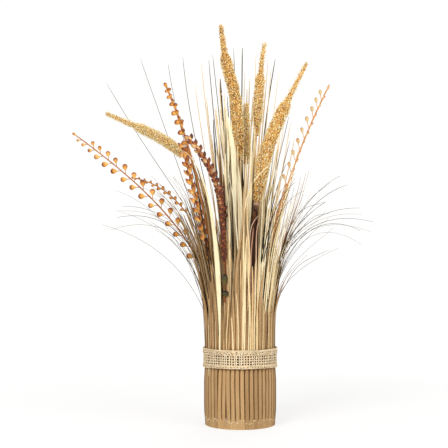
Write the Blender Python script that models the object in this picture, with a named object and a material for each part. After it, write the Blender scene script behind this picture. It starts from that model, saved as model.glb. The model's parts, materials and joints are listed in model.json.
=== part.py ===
"""Tied sheaf of dried grasses that stands on its own cut ends.

Flat straws stand side by side in a round foot and a burlap band ties them.
Above the band they spread and thin out. Foxtail heads, budded sprays, thin
blades and pale leaves stand in the middle of the sheaf, each on its own stem
that reaches the floor. The origin is the middle of the foot, on the floor.
Sizes are in millimetres here and are turned into metres when a mesh is made.
"""

import math
from dataclasses import dataclass

import bmesh
import bpy
from mathutils import Vector

METRES_PER_MM = 0.001

# Driving dimensions of the foot and its tie
FOOT_RADIUS = 54.0
FOOT_TAPER = 1.8
WELL_RADIUS = 42.0
WAIST_PINCH = 0.6
GAP = 0.35
BAND_CLEARANCE = 0.5
STRIP_HEIGHT = 13.0
BAND_LOW = 85.0
BAND_HIGH = 114.5
BAND_THICKNESS = 1.7
BAND_LAP = 1.2
SPREAD_START = 120.0

# The ring of straws round the foot
STRAWS_ROUND = 48
STRAW_ANGLE = 360.0 / STRAWS_ROUND
STRAW_RELIEF = 0.9
CLUMP_RADIUS = 48.0
CLUMP_TIP_SCALE = 0.07
CLUMP_NARROWS_FROM = 132.0

# Cross-sections of the slender pieces
BLADE_THICKNESS = 1.0
BLADE_LEAST_SHARE = 0.16
TALL_BLADE_WIDTH = 3.2
ARCHING_BLADE_WIDTH = 3.0
STALK_RADIUS = 1.4
HEAD_SIDES = 8
SPRAY_STEM = 1.9
BUD_STATION = 17.7
BUD_BASE = 2.2
BUD_HALF_WIDTH = 3.7
BUD_TIP = 0.8
BUD_TIP_GAP = 4.0
BUD_REACH = 10.0
LEAF_TIP = 0.6
LEAF_WIDENING = 0.3
TUFT_SIDES = 8
TUFT_FLUTE = 0.88
BAND_SEGMENTS = 48
BAND_LAP_HALF_ANGLE = 16.0

ROUTE_SAMPLES = 96


@dataclass
class Route:
    """A stem's way: straight up from its foot to the tie, then one smooth bend to its tip."""

    foot: tuple
    rise: float
    handle: tuple
    tip: tuple

    def __post_init__(self):
        corners = [
            Vector((self.foot[0], self.foot[1], SPREAD_START)),
            Vector((self.foot[0], self.foot[1], SPREAD_START + self.rise)),
            Vector(self.handle),
            Vector(self.tip),
        ]
        self.points = [Vector((self.foot[0], self.foot[1], 0.0))]
        for step in range(ROUTE_SAMPLES + 1):
            self.points.append(bezier(corners, step / ROUTE_SAMPLES))
        self.marks = [0.0]
        for before, after in zip(self.points, self.points[1:]):
            self.marks.append(self.marks[-1] + (after - before).length)

    @property
    def length(self):
        return self.marks[-1]

    def at(self, distance):
        """The point this far along the stem, counted from the floor."""
        distance = min(max(distance, 0.0), self.length)
        for index in range(1, len(self.marks)):
            if distance <= self.marks[index]:
                span = self.marks[index] - self.marks[index - 1]
                share = (distance - self.marks[index - 1]) / span
                return self.points[index - 1].lerp(self.points[index], share)
        return self.points[-1].copy()


@dataclass
class Head:
    """A foxtail head at the top of its stalk.

    The base is its radius at the foot of the head against the greatest one, the thin end is
    the share of its length that is slender, the narrowing is its radius just below that, and
    the slender radius is the one above it.
    """

    length: float
    radius: float
    base: float
    thin_end: float
    narrowing: float = 0.95
    slender: float = 0.4


@dataclass
class Spray:
    """A budded stem: its way, its pairs of buds, their size against the usual one, its foot."""

    route: Route
    pairs: int
    bud_size: float
    foot_section: tuple = (SPRAY_STEM, SPRAY_STEM)


@dataclass
class Leaf:
    """A pale leaf: its way, greatest width and where along it that comes, and its stalk."""

    route: Route
    width: float
    widest_at: float
    stalk: float
    foot_depth: float = BLADE_THICKNESS


def bezier(corners, t):
    """The point at t on the cubic curve of these four corners."""
    s = 1.0 - t
    return (
        corners[0] * s**3
        + corners[1] * (3 * s * s * t)
        + corners[2] * (3 * s * t * t)
        + corners[3] * t**3
    )


# Foxtail heads: the way of each stalk, then its head
FOXTAILS = [
    (Route((1, -9), 507, (-10, -11, 428), (-29, -12, 599)), Head(208, 10.0, 0.40, 0.19)),
    (Route((13, 9), 64, (27, 20, 557), (40, 30, 581)), Head(146, 7.8, 0.40, 0.32)),
    (Route((14, -24), 270, (36, -40, 412), (97, -52, 533)), Head(218, 11.2, 0.72, 0.26, 0.84, 0.3)),
    (Route((-27, 9), 307, (-98, 10, 418), (-207, 35, 472)), Head(141, 8.0, 0.60, 0.36)),
    (Route((3, 14), 140, (9, 4, 396), (10, 2, 482)), Head(92, 7.0, 0.40, 0.12, 0.7)),
]

# Budded sprays; the sixth one stands in the ring, in the place of a straw
SPRAYS = [
    Spray(Route((-37, -3), 104, (-73, -9, 307), (-250, -20, 434)), 14, 1.0),
    Spray(Route((-35, 6), 131, (-73, 20, 355), (-167, 30, 372)), 4, 0.8),
    Spray(Route((-28, 0), 66, (-59, -4, 397), (-114, -6, 512)), 5, 0.9),
    Spray(Route((-28, -16), 97, (-86, -58, 401), (-82, -60, 409)), 6, 0.9),
    Spray(Route((-18, -24), 233, (-33, -37, 371), (-77, -42, 425)), 6, 0.7),
    Spray(Route((-22.5, -45.6), 80, (-23, -58, 270), (-30, -66, 352)), 6, 0.6, (5.9, 4.4)),
    Spray(Route((30, -9), 120, (65, -36, 372), (132, -30, 504)), 11, 0.8),
]

# Pale leaves; the second one stands in the ring, in the place of a straw
LEAVES = [
    Leaf(Route((-3, -22), 90, (3, -56, 392), (-28, -58, 486)), 13.0, 0.68, 3.2),
    Leaf(Route((-28.2, -42.2), 140, (-40, -64, 402), (-93, -72, 405)), 6.2, 0.3, 5.9, 4.4),
    Leaf(Route((18, 33), 130, (30, 52, 330), (66, 84, 470)), 9.0, 0.62, 3.2),
    Leaf(Route((-8, 37), 120, (-10, 56, 330), (-18, 84, 455)), 9.0, 0.60, 3.2),
    Leaf(Route((34, -17), 90, (56, -36, 300), (82, -64, 400)), 7.0, 0.55, 3.2),
    Leaf(Route((-23, 32), 110, (-40, 56, 330), (-86, 98, 440)), 8.0, 0.58, 3.2),
]

# Thin blades that stand tall in the middle
TALL_BLADES = [
    Route((-30, 16), 185, (-80, 36, 300), (-210, 62, 524)),
    Route((-22, 26), 84, (-118, 40, 450), (-156, 58, 562)),
    Route((-19, 15), 115, (-86, 34, 386), (-112, 46, 552)),
    Route((-14, 31), 138, (-74, 62, 395), (-91, 100, 573)),
    Route((-9, 22), 167, (-25, 42, 402), (-42, 60, 569)),
    Route((3, 27), 193, (2, 45, 371), (5, 60, 580)),
    Route((14, 24), 96, (32, 42, 425), (57, 62, 562)),
    Route((25, 3), 178, (50, 8, 351), (75, 15, 464)),
]

# Thin blades that arch over at the two sides, at the back and at the front
ARCHING_BLADES = [
    Route((36, -18), 84, (72, -42, 332), (143, -62, 366)),
    Route((38, 1), 139, (92, 10, 308), (132, 20, 334)),
    Route((32, 20), 100, (78, 44, 328), (192, 74, 327)),
    Route((36, 10), 101, (82, 18, 335), (206, 30, 303)),
    Route((38, -10), 55, (73, -15, 343), (178, -25, 288)),
    Route((-34, 18), 92, (-74, 42, 330), (-186, 78, 330)),
    Route((-36, -14), 80, (-70, -30, 330), (-178, -66, 306)),
    Route((0, 38), 90, (0, 86, 350), (6, 165, 352)),
    Route((-19, 33), 90, (-45, 78, 340), (-82, 142, 322)),
    Route((22, -34), 110, (40, -66, 330), (74, -128, 352)),
    Route((0, -38), 120, (-2, -68, 330), (-8, -132, 372)),
]

# Tufts of inner straws: the way of each and its radius
TUFTS = [
    (Route((0, 0), 120, (-4, 6, 340), (-8, 12, 450)), 6.5),
    (Route((20, -13), 110, (28, -12, 310), (48, -10, 425)), 6.5),
    (Route((-12, -13), 110, (-18, -18, 310), (-30, -24, 430)), 6.5),
    (Route((-12, 6), 130, (-15, 8, 340), (-30, 14, 475)), 5.5),
    (Route((9, -33), 120, (12, -44, 300), (16, -50, 425)), 5.0),
    (Route((22, 16), 120, (34, 28, 300), (62, 48, 430)), 6.5),
]


@dataclass
class Clump:
    """A clump of flat straws in the ring, set by its reach in the upright plane it spreads in."""

    straws: int
    first_straw: int
    rise: float
    handle: tuple
    tip: tuple

    @property
    def azimuth(self):
        return (self.first_straw + self.straws / 2) * STRAW_ANGLE

    def route(self):
        turn = math.radians(self.azimuth)
        along = Vector((math.cos(turn), math.sin(turn)))
        foot = along * CLUMP_RADIUS
        handle = along * self.handle[0]
        tip = along * self.tip[0]
        return Route(tuple(foot), self.rise, (*handle, self.handle[1]), (*tip, self.tip[1]))


# Rise, handle and tip of each clump, as (reach, height), anticlockwise from the right
CLUMPS = [
    Clump(4, 0, 126, (116, 298), (150, 294)),
    Clump(4, 4, 110, (80, 350), (128, 384)),
    Clump(4, 8, 120, (66, 360), (100, 452)),
    Clump(4, 12, 120, (68, 350), (104, 424)),
    Clump(4, 16, 110, (82, 340), (136, 372)),
    Clump(4, 20, 70, (78, 326), (200, 322)),
    Clump(4, 24, 44, (88, 317), (208, 296)),
    Clump(3, 28, 80, (84, 300), (108, 338)),
    Clump(3, 33, 120, (62, 320), (78, 408)),
    Clump(4, 36, 120, (62, 310), (74, 392)),
    Clump(4, 40, 100, (74, 310), (102, 350)),
    Clump(4, 44, 94, (82, 258), (150, 263)),
]


def make_material(name, colour, roughness):
    """A plain material of this colour."""
    material = bpy.data.materials.new(name)
    material.use_nodes = True
    shader = material.node_tree.nodes["Principled BSDF"]
    shader.inputs["Base Color"].default_value = (*colour, 1.0)
    shader.inputs["Roughness"].default_value = roughness
    shader.inputs["Metallic"].default_value = 0.0
    return material


def add_object(name, mesh_builder, material):
    """Turn a finished bmesh, in millimetres, into a named object in metres."""
    bmesh.ops.scale(mesh_builder, vec=[METRES_PER_MM] * 3, verts=mesh_builder.verts)
    bmesh.ops.recalc_face_normals(mesh_builder, faces=mesh_builder.faces)
    mesh = bpy.data.meshes.new(name)
    mesh_builder.to_mesh(mesh)
    mesh_builder.free()
    mesh.materials.append(material)
    mesh.shade_smooth()
    mesh.set_sharp_from_angle(angle=math.radians(40))
    part = bpy.data.objects.new(name, mesh)
    bpy.context.scene.collection.objects.link(part)
    return part


def carried_frames(centres, across):
    """The two directions of each ring, turned no more than the stem itself bends."""
    tangents = [Vector((0, 0, 1))]
    for index in range(1, len(centres)):
        ahead = centres[min(index + 1, len(centres) - 1)]
        tangents.append((ahead - centres[index - 1]).normalized())
    frames = []
    across = across.normalized()
    for before, tangent in zip([tangents[0], *tangents], tangents):
        across = before.rotation_difference(tangent) @ across
        frames.append((across.copy(), tangent.cross(across)))
    return frames


def sweep(centres, sections, across):
    """A closed skin through rings; section points are (across, outward) offsets."""
    skin = bmesh.new()
    rings = []
    for centre, section, (side, out) in zip(centres, sections, carried_frames(centres, across)):
        rings.append([skin.verts.new(centre + side * u + out * v) for u, v in section])
    for low, high in zip(rings, rings[1:]):
        for index in range(len(low)):
            follow = (index + 1) % len(low)
            skin.faces.new((low[index], low[follow], high[follow], high[index]))
    skin.faces.new(rings[0][::-1])
    skin.faces.new(rings[-1])
    return skin, rings


def stations(route, steps):
    """Distances of the rings: the floor, the tie and even steps from there to the tip."""
    start = SPREAD_START
    span = route.length - start
    return [0.0] + [start + span * step / steps for step in range(steps + 1)]


def sideways(route):
    """The level direction across a stem's lean, or along the ring for a stem that stands in it."""
    lean = Vector((route.tip[0] - route.foot[0], route.tip[1] - route.foot[1], 0.0))
    if Vector(route.foot).length > WELL_RADIUS:
        lean = Vector((route.foot[0], route.foot[1], 0.0))
    return Vector((-lean.y, lean.x, 0.0)).normalized()


def rectangle(width, thickness):
    half, deep = width / 2, thickness / 2
    return [(-half, -deep), (half, -deep), (half, deep), (-half, deep)]


def circle(radius, sides):
    turns = [2 * math.pi * (index + 0.5) / sides for index in range(sides)]
    return [(radius * math.cos(turn), radius * math.sin(turn)) for turn in turns]


def ease(share):
    share = min(max(share, 0.0), 1.0)
    return share * share * (3 - 2 * share)


def add_blade(name, route, width, steps, material):
    """A thin blade that keeps its width to the tie and narrows evenly to its tip."""
    places = stations(route, steps)
    sections = []
    for place in places:
        left = max(0.0, route.length - place) / (route.length - SPREAD_START)
        share = min(1.0, max(BLADE_LEAST_SHARE, left**0.7))
        sections.append(rectangle(width * share, BLADE_THICKNESS * max(share, 0.5)))
    skin, _ = sweep([route.at(place) for place in places], sections, sideways(route))
    add_object(name, skin, material)


def add_leaf(name, leaf, material):
    """A pale leaf, broadest where its shape says and pointed at its end."""
    route = leaf.route
    places = stations(route, 10)
    sections = []
    for place in places:
        share = place / route.length
        if share < leaf.widest_at:
            widening = ease((share - leaf.widest_at + LEAF_WIDENING) / LEAF_WIDENING)
            local = leaf.stalk + (leaf.width - leaf.stalk) * widening
        else:
            past = (share - leaf.widest_at) / (1 - leaf.widest_at)
            local = leaf.width * (1 - ease(past)) + LEAF_TIP
        thinning = ease((place - SPREAD_START) / SPREAD_START)
        depth = leaf.foot_depth + (BLADE_THICKNESS - leaf.foot_depth) * thinning
        sections.append(rectangle(local, depth))
    skin, _ = sweep([route.at(place) for place in places], sections, sideways(route))
    add_object(name, skin, material)


def add_tuft(name, route, radius, material):
    """A tuft of inner straws: a fluted rod that thins out above the band."""
    places = stations(route, 6)
    sections = []
    for place in places:
        share = max(0.0, (place - SPREAD_START) / (route.length - SPREAD_START))
        local = radius * (0.1 + 0.9 * max(0.0, 1 - share) ** 1.2)
        section = []
        for index, (u, v) in enumerate(circle(local, TUFT_SIDES)):
            flute = TUFT_FLUTE if index % 2 else 1.0
            section.append((u * flute, v * flute))
        sections.append(section)
    skin, _ = sweep([route.at(place) for place in places], sections, sideways(route))
    add_object(name, skin, material)


def head_profile(head, share):
    """Radius of a foxtail head against its greatest one, from its base (0) to its tip (1)."""
    shoulder = 1.0 - head.thin_end
    rising = head.base + (1.0 - head.base) * ease(share / 0.2)
    body = 1.0 + (head.narrowing - 1.0) * ease(share / shoulder)
    slender = head.slender * (1.0 - 0.35 * ease((share - shoulder) / head.thin_end))
    return rising * (body + (slender - body) * ease((share - shoulder + 0.09) / 0.09))


def add_foxtail(name, route, head, material):
    """A round stalk that carries a bristly head, as one piece."""
    base = route.length - head.length
    places = [0.0, SPREAD_START]
    places += [SPREAD_START + (base - SPREAD_START) * share for share in (0.33, 0.66, 0.96)]
    shoulder = 1.0 - head.thin_end
    body_shares = [0.0, 0.08, 0.2, 0.4, shoulder - 0.24, shoulder - 0.09]
    head_shares = body_shares + [shoulder - 0.045, shoulder, (1 + shoulder) / 2, 1.0]
    radii = [STALK_RADIUS] * len(places)
    places += [base + head.length * share for share in head_shares]
    radii += [head.radius * head_profile(head, share) for share in head_shares]
    sections = [circle(radius, HEAD_SIDES) for radius in radii]
    skin, _ = sweep([route.at(place) for place in places], sections, sideways(route))
    add_object(name, skin, material)


def grow_bud(skin, face, toward, size):
    """Draw one side face of the stem out into a plump bud with a blunt tip."""
    start = face.calc_center_median()
    for reach, spread in ((0.62, BUD_HALF_WIDTH * size), (1.0, BUD_TIP * size)):
        face = bmesh.ops.extrude_discrete_faces(skin, faces=[face])["faces"][0]
        middle = face.calc_center_median()
        centre = start.lerp(toward, reach)
        for corner in face.verts:
            corner.co = centre + (corner.co - middle).normalized() * spread


def spray_rings(spray):
    """Distances and cross-sections of a spray's rings; the last ones come in pairs, for buds."""
    route = spray.route
    first_bud = route.length - BUD_TIP_GAP - BUD_STATION * spray.pairs
    places = [0.0, SPREAD_START]
    places += [SPREAD_START + (first_bud - SPREAD_START) * share for share in (0.33, 0.66)]
    for index in range(spray.pairs):
        base = first_bud + BUD_STATION * index
        places += [base, base + BUD_BASE]
    places.append(route.length)
    sections = []
    for place in places:
        if place <= SPREAD_START:
            sections.append(rectangle(*spray.foot_section))
            continue
        thin = 1.0 - 0.45 * ease((place - SPREAD_START) / (route.length - SPREAD_START))
        sections.append(rectangle(SPRAY_STEM * thin, SPRAY_STEM * thin))
    return places, sections


def add_spray(name, spray, material):
    """A slender stem with a bud on each side at every station near its tip."""
    route = spray.route
    places, sections = spray_rings(spray)
    centres = [route.at(place) for place in places]
    across = Vector((1.0, 0.0, 0.0))
    if Vector(route.foot).length > WELL_RADIUS:
        across = sideways(route)
    # With this first direction the stem's second and fourth sides face right and left
    skin, rings = sweep(centres, sections, across)
    first_bud_ring = len(places) - 1 - 2 * spray.pairs
    for index in range(spray.pairs):
        lower = first_bud_ring + 2 * index
        middle = (centres[lower] + centres[lower + 1]) / 2
        ahead = (centres[lower + 1] - centres[lower]).normalized()
        right = ahead.cross(Vector((0.0, -1.0, 0.0))).normalized()
        for side, out, forward in ((1, right, 5.0), (3, -right, 12.0)):
            depth = 3.0 * math.sin(2.4 * index + side)
            aim = out * BUD_REACH + ahead * forward + Vector((0.0, depth, 0.0))
            face = shared_face(rings[lower], rings[lower + 1], side)
            grow_bud(skin, face, middle + aim * spray.bud_size, spray.bud_size)
    add_object(name, skin, material)


def shared_face(low, high, side):
    """The side face between two rings that starts at this corner."""
    follow = (side + 1) % len(low)
    corners = {low[side], low[follow], high[side], high[follow]}
    return next(face for face in low[side].link_faces if set(face.verts) == corners)


def foot_radius(height):
    """Outer radius of the ring of straws: drawn in at the floor and under the band."""
    taper = FOOT_TAPER * (1 - ease(height / (2 * STRIP_HEIGHT)))
    middle = (BAND_LOW + BAND_HIGH) / 2
    near_band = ease(1 - (abs(height - middle) - (BAND_HIGH - BAND_LOW) / 2) / 12)
    return FOOT_RADIUS - taper - WAIST_PINCH * near_band


def clump_section(straws, height, scale):
    """Wedge of the ring with one bulge for each straw, round the clump's own middle."""
    half = straws * STRAW_ANGLE / 2
    outer = foot_radius(min(height, SPREAD_START + 20))
    relief = STRAW_RELIEF * ease(height / STRIP_HEIGHT)
    points = []
    for index in range(2 * straws + 1):
        bulge = 0.0 if index % 2 else relief
        turn = -half + index * STRAW_ANGLE / 2
        points.append((turn, outer - bulge))
    points += [(half, WELL_RADIUS), (0.0, WELL_RADIUS), (-half, WELL_RADIUS)]
    section = []
    for turn, radius in points:
        room = math.degrees(GAP / 2 / radius) * (1 if turn > 0 else -1)
        inset = room if abs(turn) >= half else 0.0
        angle = math.radians(turn - inset)
        across = radius * math.sin(angle)
        out = radius * math.cos(angle) - CLUMP_RADIUS
        section.append((-across * scale, out * scale))
    return section


def add_clump(name, clump, material):
    """A clump of straws: a wedge of the foot that thins out to the tips of its blades."""
    route = clump.route()
    places = [0.0, STRIP_HEIGHT, BAND_LOW, BAND_HIGH]
    top_span = route.length - CLUMP_NARROWS_FROM
    places += [CLUMP_NARROWS_FROM + top_span * share for share in (0, 0.16, 0.34, 0.55, 0.78, 1)]
    sections = []
    for place in places:
        share = max(0.0, (place - CLUMP_NARROWS_FROM) / top_span)
        scale = CLUMP_TIP_SCALE + (1 - CLUMP_TIP_SCALE) * (1 - share) ** 1.5
        sections.append(clump_section(clump.straws, place, scale))
    turn = math.radians(clump.azimuth)
    across = Vector((math.sin(turn), -math.cos(turn), 0.0))
    skin, _ = sweep([route.at(place) for place in places], sections, across)
    add_object(name, skin, material)


def add_band(name, material):
    """The burlap band: one strip wrapped round, with its end lapped over at the back."""
    inner = FOOT_RADIUS - WAIST_PINCH + BAND_CLEARANCE
    skin = bmesh.new()
    rings = []
    for index in range(BAND_SEGMENTS):
        turn = 2 * math.pi * index / BAND_SEGMENTS
        from_back = abs(math.degrees(turn) - 90)
        lap = BAND_LAP if from_back < BAND_LAP_HALF_ANGLE else 0.0
        outer = inner + BAND_THICKNESS + lap
        corners = [(inner, BAND_LOW), (outer, BAND_LOW), (outer, BAND_HIGH), (inner, BAND_HIGH)]
        ring = []
        for radius, height in corners:
            ring.append(skin.verts.new((radius * math.cos(turn), radius * math.sin(turn), height)))
        rings.append(ring)
    for ring, follow in zip(rings, rings[1:] + rings[:1]):
        for index in range(4):
            after = (index + 1) % 4
            skin.faces.new((ring[index], ring[after], follow[after], follow[index]))
    add_object(name, skin, material)


def clear_scene():
    for item in list(bpy.data.objects):
        bpy.data.objects.remove(item, do_unlink=True)


def main():
    clear_scene()
    straw = make_material("straw", (0.51, 0.35, 0.16), 0.6)
    golden = make_material("golden_seed", (0.73, 0.38, 0.10), 0.8)
    bud = make_material("orange_bud", (0.70, 0.27, 0.08), 0.5)
    cream = make_material("cream_leaf", (0.91, 0.80, 0.52), 0.6)
    grass = make_material("dry_blade", (0.16, 0.13, 0.08), 0.6)
    burlap = make_material("burlap", (0.83, 0.62, 0.36), 0.9)

    for number, clump in enumerate(CLUMPS, 1):
        add_clump(f"grass_clump_{number:02d}", clump, straw)
    add_band("burlap_band", burlap)
    for number, (route, radius) in enumerate(TUFTS, 1):
        add_tuft(f"straw_tuft_{number}", route, radius, straw)
    for number, (route, head) in enumerate(FOXTAILS, 1):
        add_foxtail(f"foxtail_{number}", route, head, golden)
    for number, spray in enumerate(SPRAYS, 1):
        add_spray(f"bud_spray_{number}", spray, bud)
    for number, leaf in enumerate(LEAVES, 1):
        add_leaf(f"cream_leaf_{number}", leaf, cream)
    for number, route in enumerate(TALL_BLADES, 1):
        add_blade(f"tall_blade_{number}", route, TALL_BLADE_WIDTH, 8, grass)
    for number, route in enumerate(ARCHING_BLADES, 1):
        add_blade(f"arching_blade_{number:02d}", route, ARCHING_BLADE_WIDTH, 10, grass)


main()
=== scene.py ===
"""A tied sheaf of dried grasses: its looks, light and camera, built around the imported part.

Every sub-assembly is a class that holds its sizes in millimetres and grows its own
strands, grains, buds or threads. A skin gathers them into one mesh, together with the
values that the finishes read: where a point lies along and across its own strand.
"""

import json
import logging
import math
from dataclasses import dataclass
from enum import Enum
from functools import cached_property, lru_cache
from typing import ClassVar

import bpy
import numpy as np
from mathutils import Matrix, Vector

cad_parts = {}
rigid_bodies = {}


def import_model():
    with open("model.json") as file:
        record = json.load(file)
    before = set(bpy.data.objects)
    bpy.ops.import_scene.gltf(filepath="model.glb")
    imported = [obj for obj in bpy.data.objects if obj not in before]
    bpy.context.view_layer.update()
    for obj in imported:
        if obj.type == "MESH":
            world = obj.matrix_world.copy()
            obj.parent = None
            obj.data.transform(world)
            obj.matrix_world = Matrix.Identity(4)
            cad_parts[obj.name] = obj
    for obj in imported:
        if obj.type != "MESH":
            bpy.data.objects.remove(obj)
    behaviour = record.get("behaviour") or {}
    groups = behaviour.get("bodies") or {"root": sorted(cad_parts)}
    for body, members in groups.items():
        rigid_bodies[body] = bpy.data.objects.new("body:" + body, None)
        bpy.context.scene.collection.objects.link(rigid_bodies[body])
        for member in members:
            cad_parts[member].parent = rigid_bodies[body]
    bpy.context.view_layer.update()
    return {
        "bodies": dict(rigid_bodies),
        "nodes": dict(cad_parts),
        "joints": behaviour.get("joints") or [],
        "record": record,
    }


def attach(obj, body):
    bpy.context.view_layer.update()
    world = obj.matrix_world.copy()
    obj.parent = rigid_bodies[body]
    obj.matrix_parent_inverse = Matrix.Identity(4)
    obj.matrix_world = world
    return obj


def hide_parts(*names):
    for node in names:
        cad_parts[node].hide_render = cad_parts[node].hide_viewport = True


logging.basicConfig(level=logging.INFO, format="%(message)s")
LOG = logging.getLogger("sheaf")

Pair = tuple[float, float]
Triple = tuple[float, float, float]

METRES_PER_MM = 0.001
SHARPEST_BEND = 70.0
UP = np.array([0.0, 0.0, 1.0])
RIGHT = np.array([1.0, 0.0, 0.0])
GOLDEN_ANGLE = math.pi * (3.0 - math.sqrt(5.0))

# Height from which the stems spread, the angle of one straw in the ring, the ring's radius, and how
# far it is turned back from a whole number of straws
SPREAD_START = 120.0
STRAW_ANGLE = 7.5
FOOT_RADIUS = 54.0
RING_TURN = 1.2

# The ring's straws: their depth, the heights of their cross-sections below the spread, the height up
# to which they are fused and their width there, and the part under the band that gets painted shade
STRAW_DEPTH = 2.4
STRAW_LEVELS = (0, 2.5, 6, 9, 12, 15, 20, 30, 48, 66, 80, 86, 88.5, 100, 111.5, 114.5)
FUSED_HEIGHT = 8.0
FUSED_WIDTH = 7.4
SHADED = (83.0, 113.0)

# Directions seen from above, in degrees: the front; where sprays and fanned straws stand before the
# ring, so that its own straws end low there; and outside which the ring's straws at the two sides are
# greyer
FRONT = 265.0
SPRAY_SIDE = (208.0, 236.0)
FAN_SIDE = (284.0, 345.0)
FRESH_SIDE = (196.0, 344.0)

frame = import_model()


# ---------------------------------------------------------------- shapes


def ease(share: np.ndarray | float) -> np.ndarray | float:
    """Smooth step from 0 to 1 of a share that may lie outside them."""
    share = np.clip(share, 0.0, 1.0)
    return share * share * (3.0 - 2.0 * share)


def unit(vectors: np.ndarray) -> np.ndarray:
    """Vectors of length one, row by row."""
    return vectors / np.linalg.norm(vectors, axis=-1, keepdims=True)


def within(value: float, zone: Pair) -> bool:
    """Whether a value lies between the two ends of a zone."""
    return zone[0] < value < zone[1]


class Line:
    """A smooth centre line that a strand grows along, in millimetres."""

    line: np.ndarray

    @cached_property
    def marks(self) -> np.ndarray:
        """Length along the centre line at each of its points."""
        steps = np.linalg.norm(np.diff(self.line, axis=0), axis=1)
        return np.concatenate([[0.0], np.cumsum(steps)])

    @property
    def length(self) -> float:
        """Whole length from the root to the tip."""
        return float(self.marks[-1])

    def at(self, places: np.ndarray) -> np.ndarray:
        """Points at these lengths along the centre line."""
        return np.stack([np.interp(places, self.marks, axis) for axis in self.line.T], axis=-1)


@dataclass(frozen=True)
class Route(Line):
    """A stem's way: straight up from the floor, then one bend to its tip.

    The bend starts at the tie, climbs by rise before it turns, and leans by way
    of handle to tip.
    """

    foot: Pair
    rise: float
    handle: Triple
    tip: Triple

    @cached_property
    def line(self) -> np.ndarray:
        """Points along the centre line, close together."""
        low = np.array([*self.foot, SPREAD_START])
        corners = [low, low + UP * self.rise, np.array(self.handle), np.array(self.tip)]
        t = np.linspace(0.0, 1.0, 97)[:, None]
        s = 1.0 - t
        weights = [s**3, 3 * s * s * t, 3 * s * t * t, t**3]
        bend = sum(weight * corner for weight, corner in zip(weights, corners))
        return np.vstack([[*self.foot, 0.0], bend])

    def moved(self, foot: Pair, handle: Triple, tip: Triple) -> "Route":
        """A neighbour of this route.

        Args:
            foot: Shift of the foot.
            handle: Shift of the handle.
            tip: Shift of the tip.

        Returns:
            The shifted route.
        """
        return Route(
            (self.foot[0] + foot[0], self.foot[1] + foot[1]),
            self.rise,
            tuple(np.add(self.handle, handle)),
            tuple(np.add(self.tip, tip)),
        )


@dataclass(frozen=True)
class Way(Line):
    """A way through a few stops, smooth at each of them."""

    stops: tuple[Triple, ...]

    @cached_property
    def line(self) -> np.ndarray:
        """Points along the centre line, close together."""
        knots = np.array(self.stops, dtype=float)
        slopes = np.gradient(knots, axis=0)
        places = np.linspace(0.0, len(knots) - 1.0, 12 * (len(knots) - 1) + 1)
        low = np.minimum(places.astype(int), len(knots) - 2)
        t = (places - low)[:, None]
        ahead = (3 * t**2 - 2 * t**3) * knots[low + 1] + (t**3 - t**2) * slopes[low + 1]
        return (1 - 3 * t**2 + 2 * t**3) * knots[low] + (t - 2 * t**2 + t**3) * slopes[low] + ahead


class Outline(Enum):
    """Cross-sections, as (across, outward) points round a strand of half-width 1."""

    STRAW = (
        (-1.0, -0.2), (-0.55, -0.8), (0.55, -0.8), (1.0, -0.2), (0.93, 0.42), (0.66, 0.86),
        (0.38, 0.78), (0.12, 1.0), (-0.16, 0.82), (-0.44, 0.96), (-0.74, 0.8), (-0.94, 0.38),
    )
    BLADE = ((-1.0, 0.0), (0.0, -0.9), (1.0, 0.0), (0.45, 0.7), (0.0, 0.35), (-0.45, 0.7))
    LEAF = (
        (-1.0, 0.3), (-0.5, -0.35), (0.0, -0.8), (0.5, -0.35), (1.0, 0.3),
        (0.55, 0.45), (0.12, 0.34), (0.0, 0.22), (-0.12, 0.34), (-0.55, 0.45),
    )
    ROUND = tuple((math.cos(turn), math.sin(turn)) for turn in np.arange(8) * math.pi / 4)

    def ring(self, widths: np.ndarray, depths: np.ndarray) -> np.ndarray:
        """The outline at every ring of a strand.

        Args:
            widths: Full width at each ring.
            depths: Full depth at each ring.

        Returns:
            Offsets of the shape (rings, sides, 2).
        """
        outline = np.array(self.value)
        scale = np.stack([widths, depths], axis=-1)[:, None, :] / 2
        return outline[None] * scale


def carried_sides(points: np.ndarray, across: np.ndarray) -> tuple[np.ndarray, np.ndarray]:
    """Directions of each ring of a strand, turned no more than the strand bends.

    Args:
        points: Ring centres.
        across: First sideways direction.

    Returns:
        The sideways and the outward direction at each ring.
    """
    ahead = unit(np.gradient(points, axis=0))
    sides = np.empty_like(points)
    side = np.array(across, dtype=float)
    for index, tangent in enumerate(ahead):
        side = side - tangent * (side @ tangent)
        side /= np.linalg.norm(side)
        sides[index] = side
    return sides, np.cross(ahead, sides)


@lru_cache(maxsize=None)
def tube_faces(rings: int, sides: int) -> tuple[np.ndarray, ...]:
    """Faces of a tube that closes to a point at both ends.

    Args:
        rings: Rings between the two end points.
        sides: Points in each ring.

    Returns:
        Triangles, quads, and the flat layout of each, with across and along from 0 to 1.
    """
    turn = np.arange(sides)
    follow = (turn + 1) % sides
    last = 1 + (rings - 1) * sides
    pole = rings * sides + 1
    low = np.stack([np.zeros(sides, int), 1 + follow, 1 + turn], axis=-1)
    high = np.stack([np.full(sides, pole), last + turn, last + follow], axis=-1)
    row = 1 + np.arange(rings - 1)[:, None] * sides
    quads = np.stack([row + turn, row + follow, row + sides + follow, row + sides + turn], axis=-1)
    left = turn / sides
    right = (turn + 1) / sides
    middle = (left + right) / 2
    step = 1.0 / (rings + 1)
    top = np.full(sides, 1.0 - step)
    flat_low = np.stack([middle, left * 0, right, left * 0 + step, left, left * 0 + step], -1)
    flat_high = np.stack([middle, left * 0 + 1, left, top, right, top], -1)
    along = (1 + np.arange(rings - 1))[:, None] * step + 0 * left
    flat = np.stack(
        [left + 0 * along, along, right + 0 * along, along]
        + [right + 0 * along, along + step, left + 0 * along, along + step],
        axis=-1,
    )
    return (
        np.vstack([low, high]),
        quads.reshape(-1, 4),
        np.vstack([flat_low, flat_high]).reshape(-1, 3, 2),
        flat.reshape(-1, 4, 2),
    )


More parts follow.
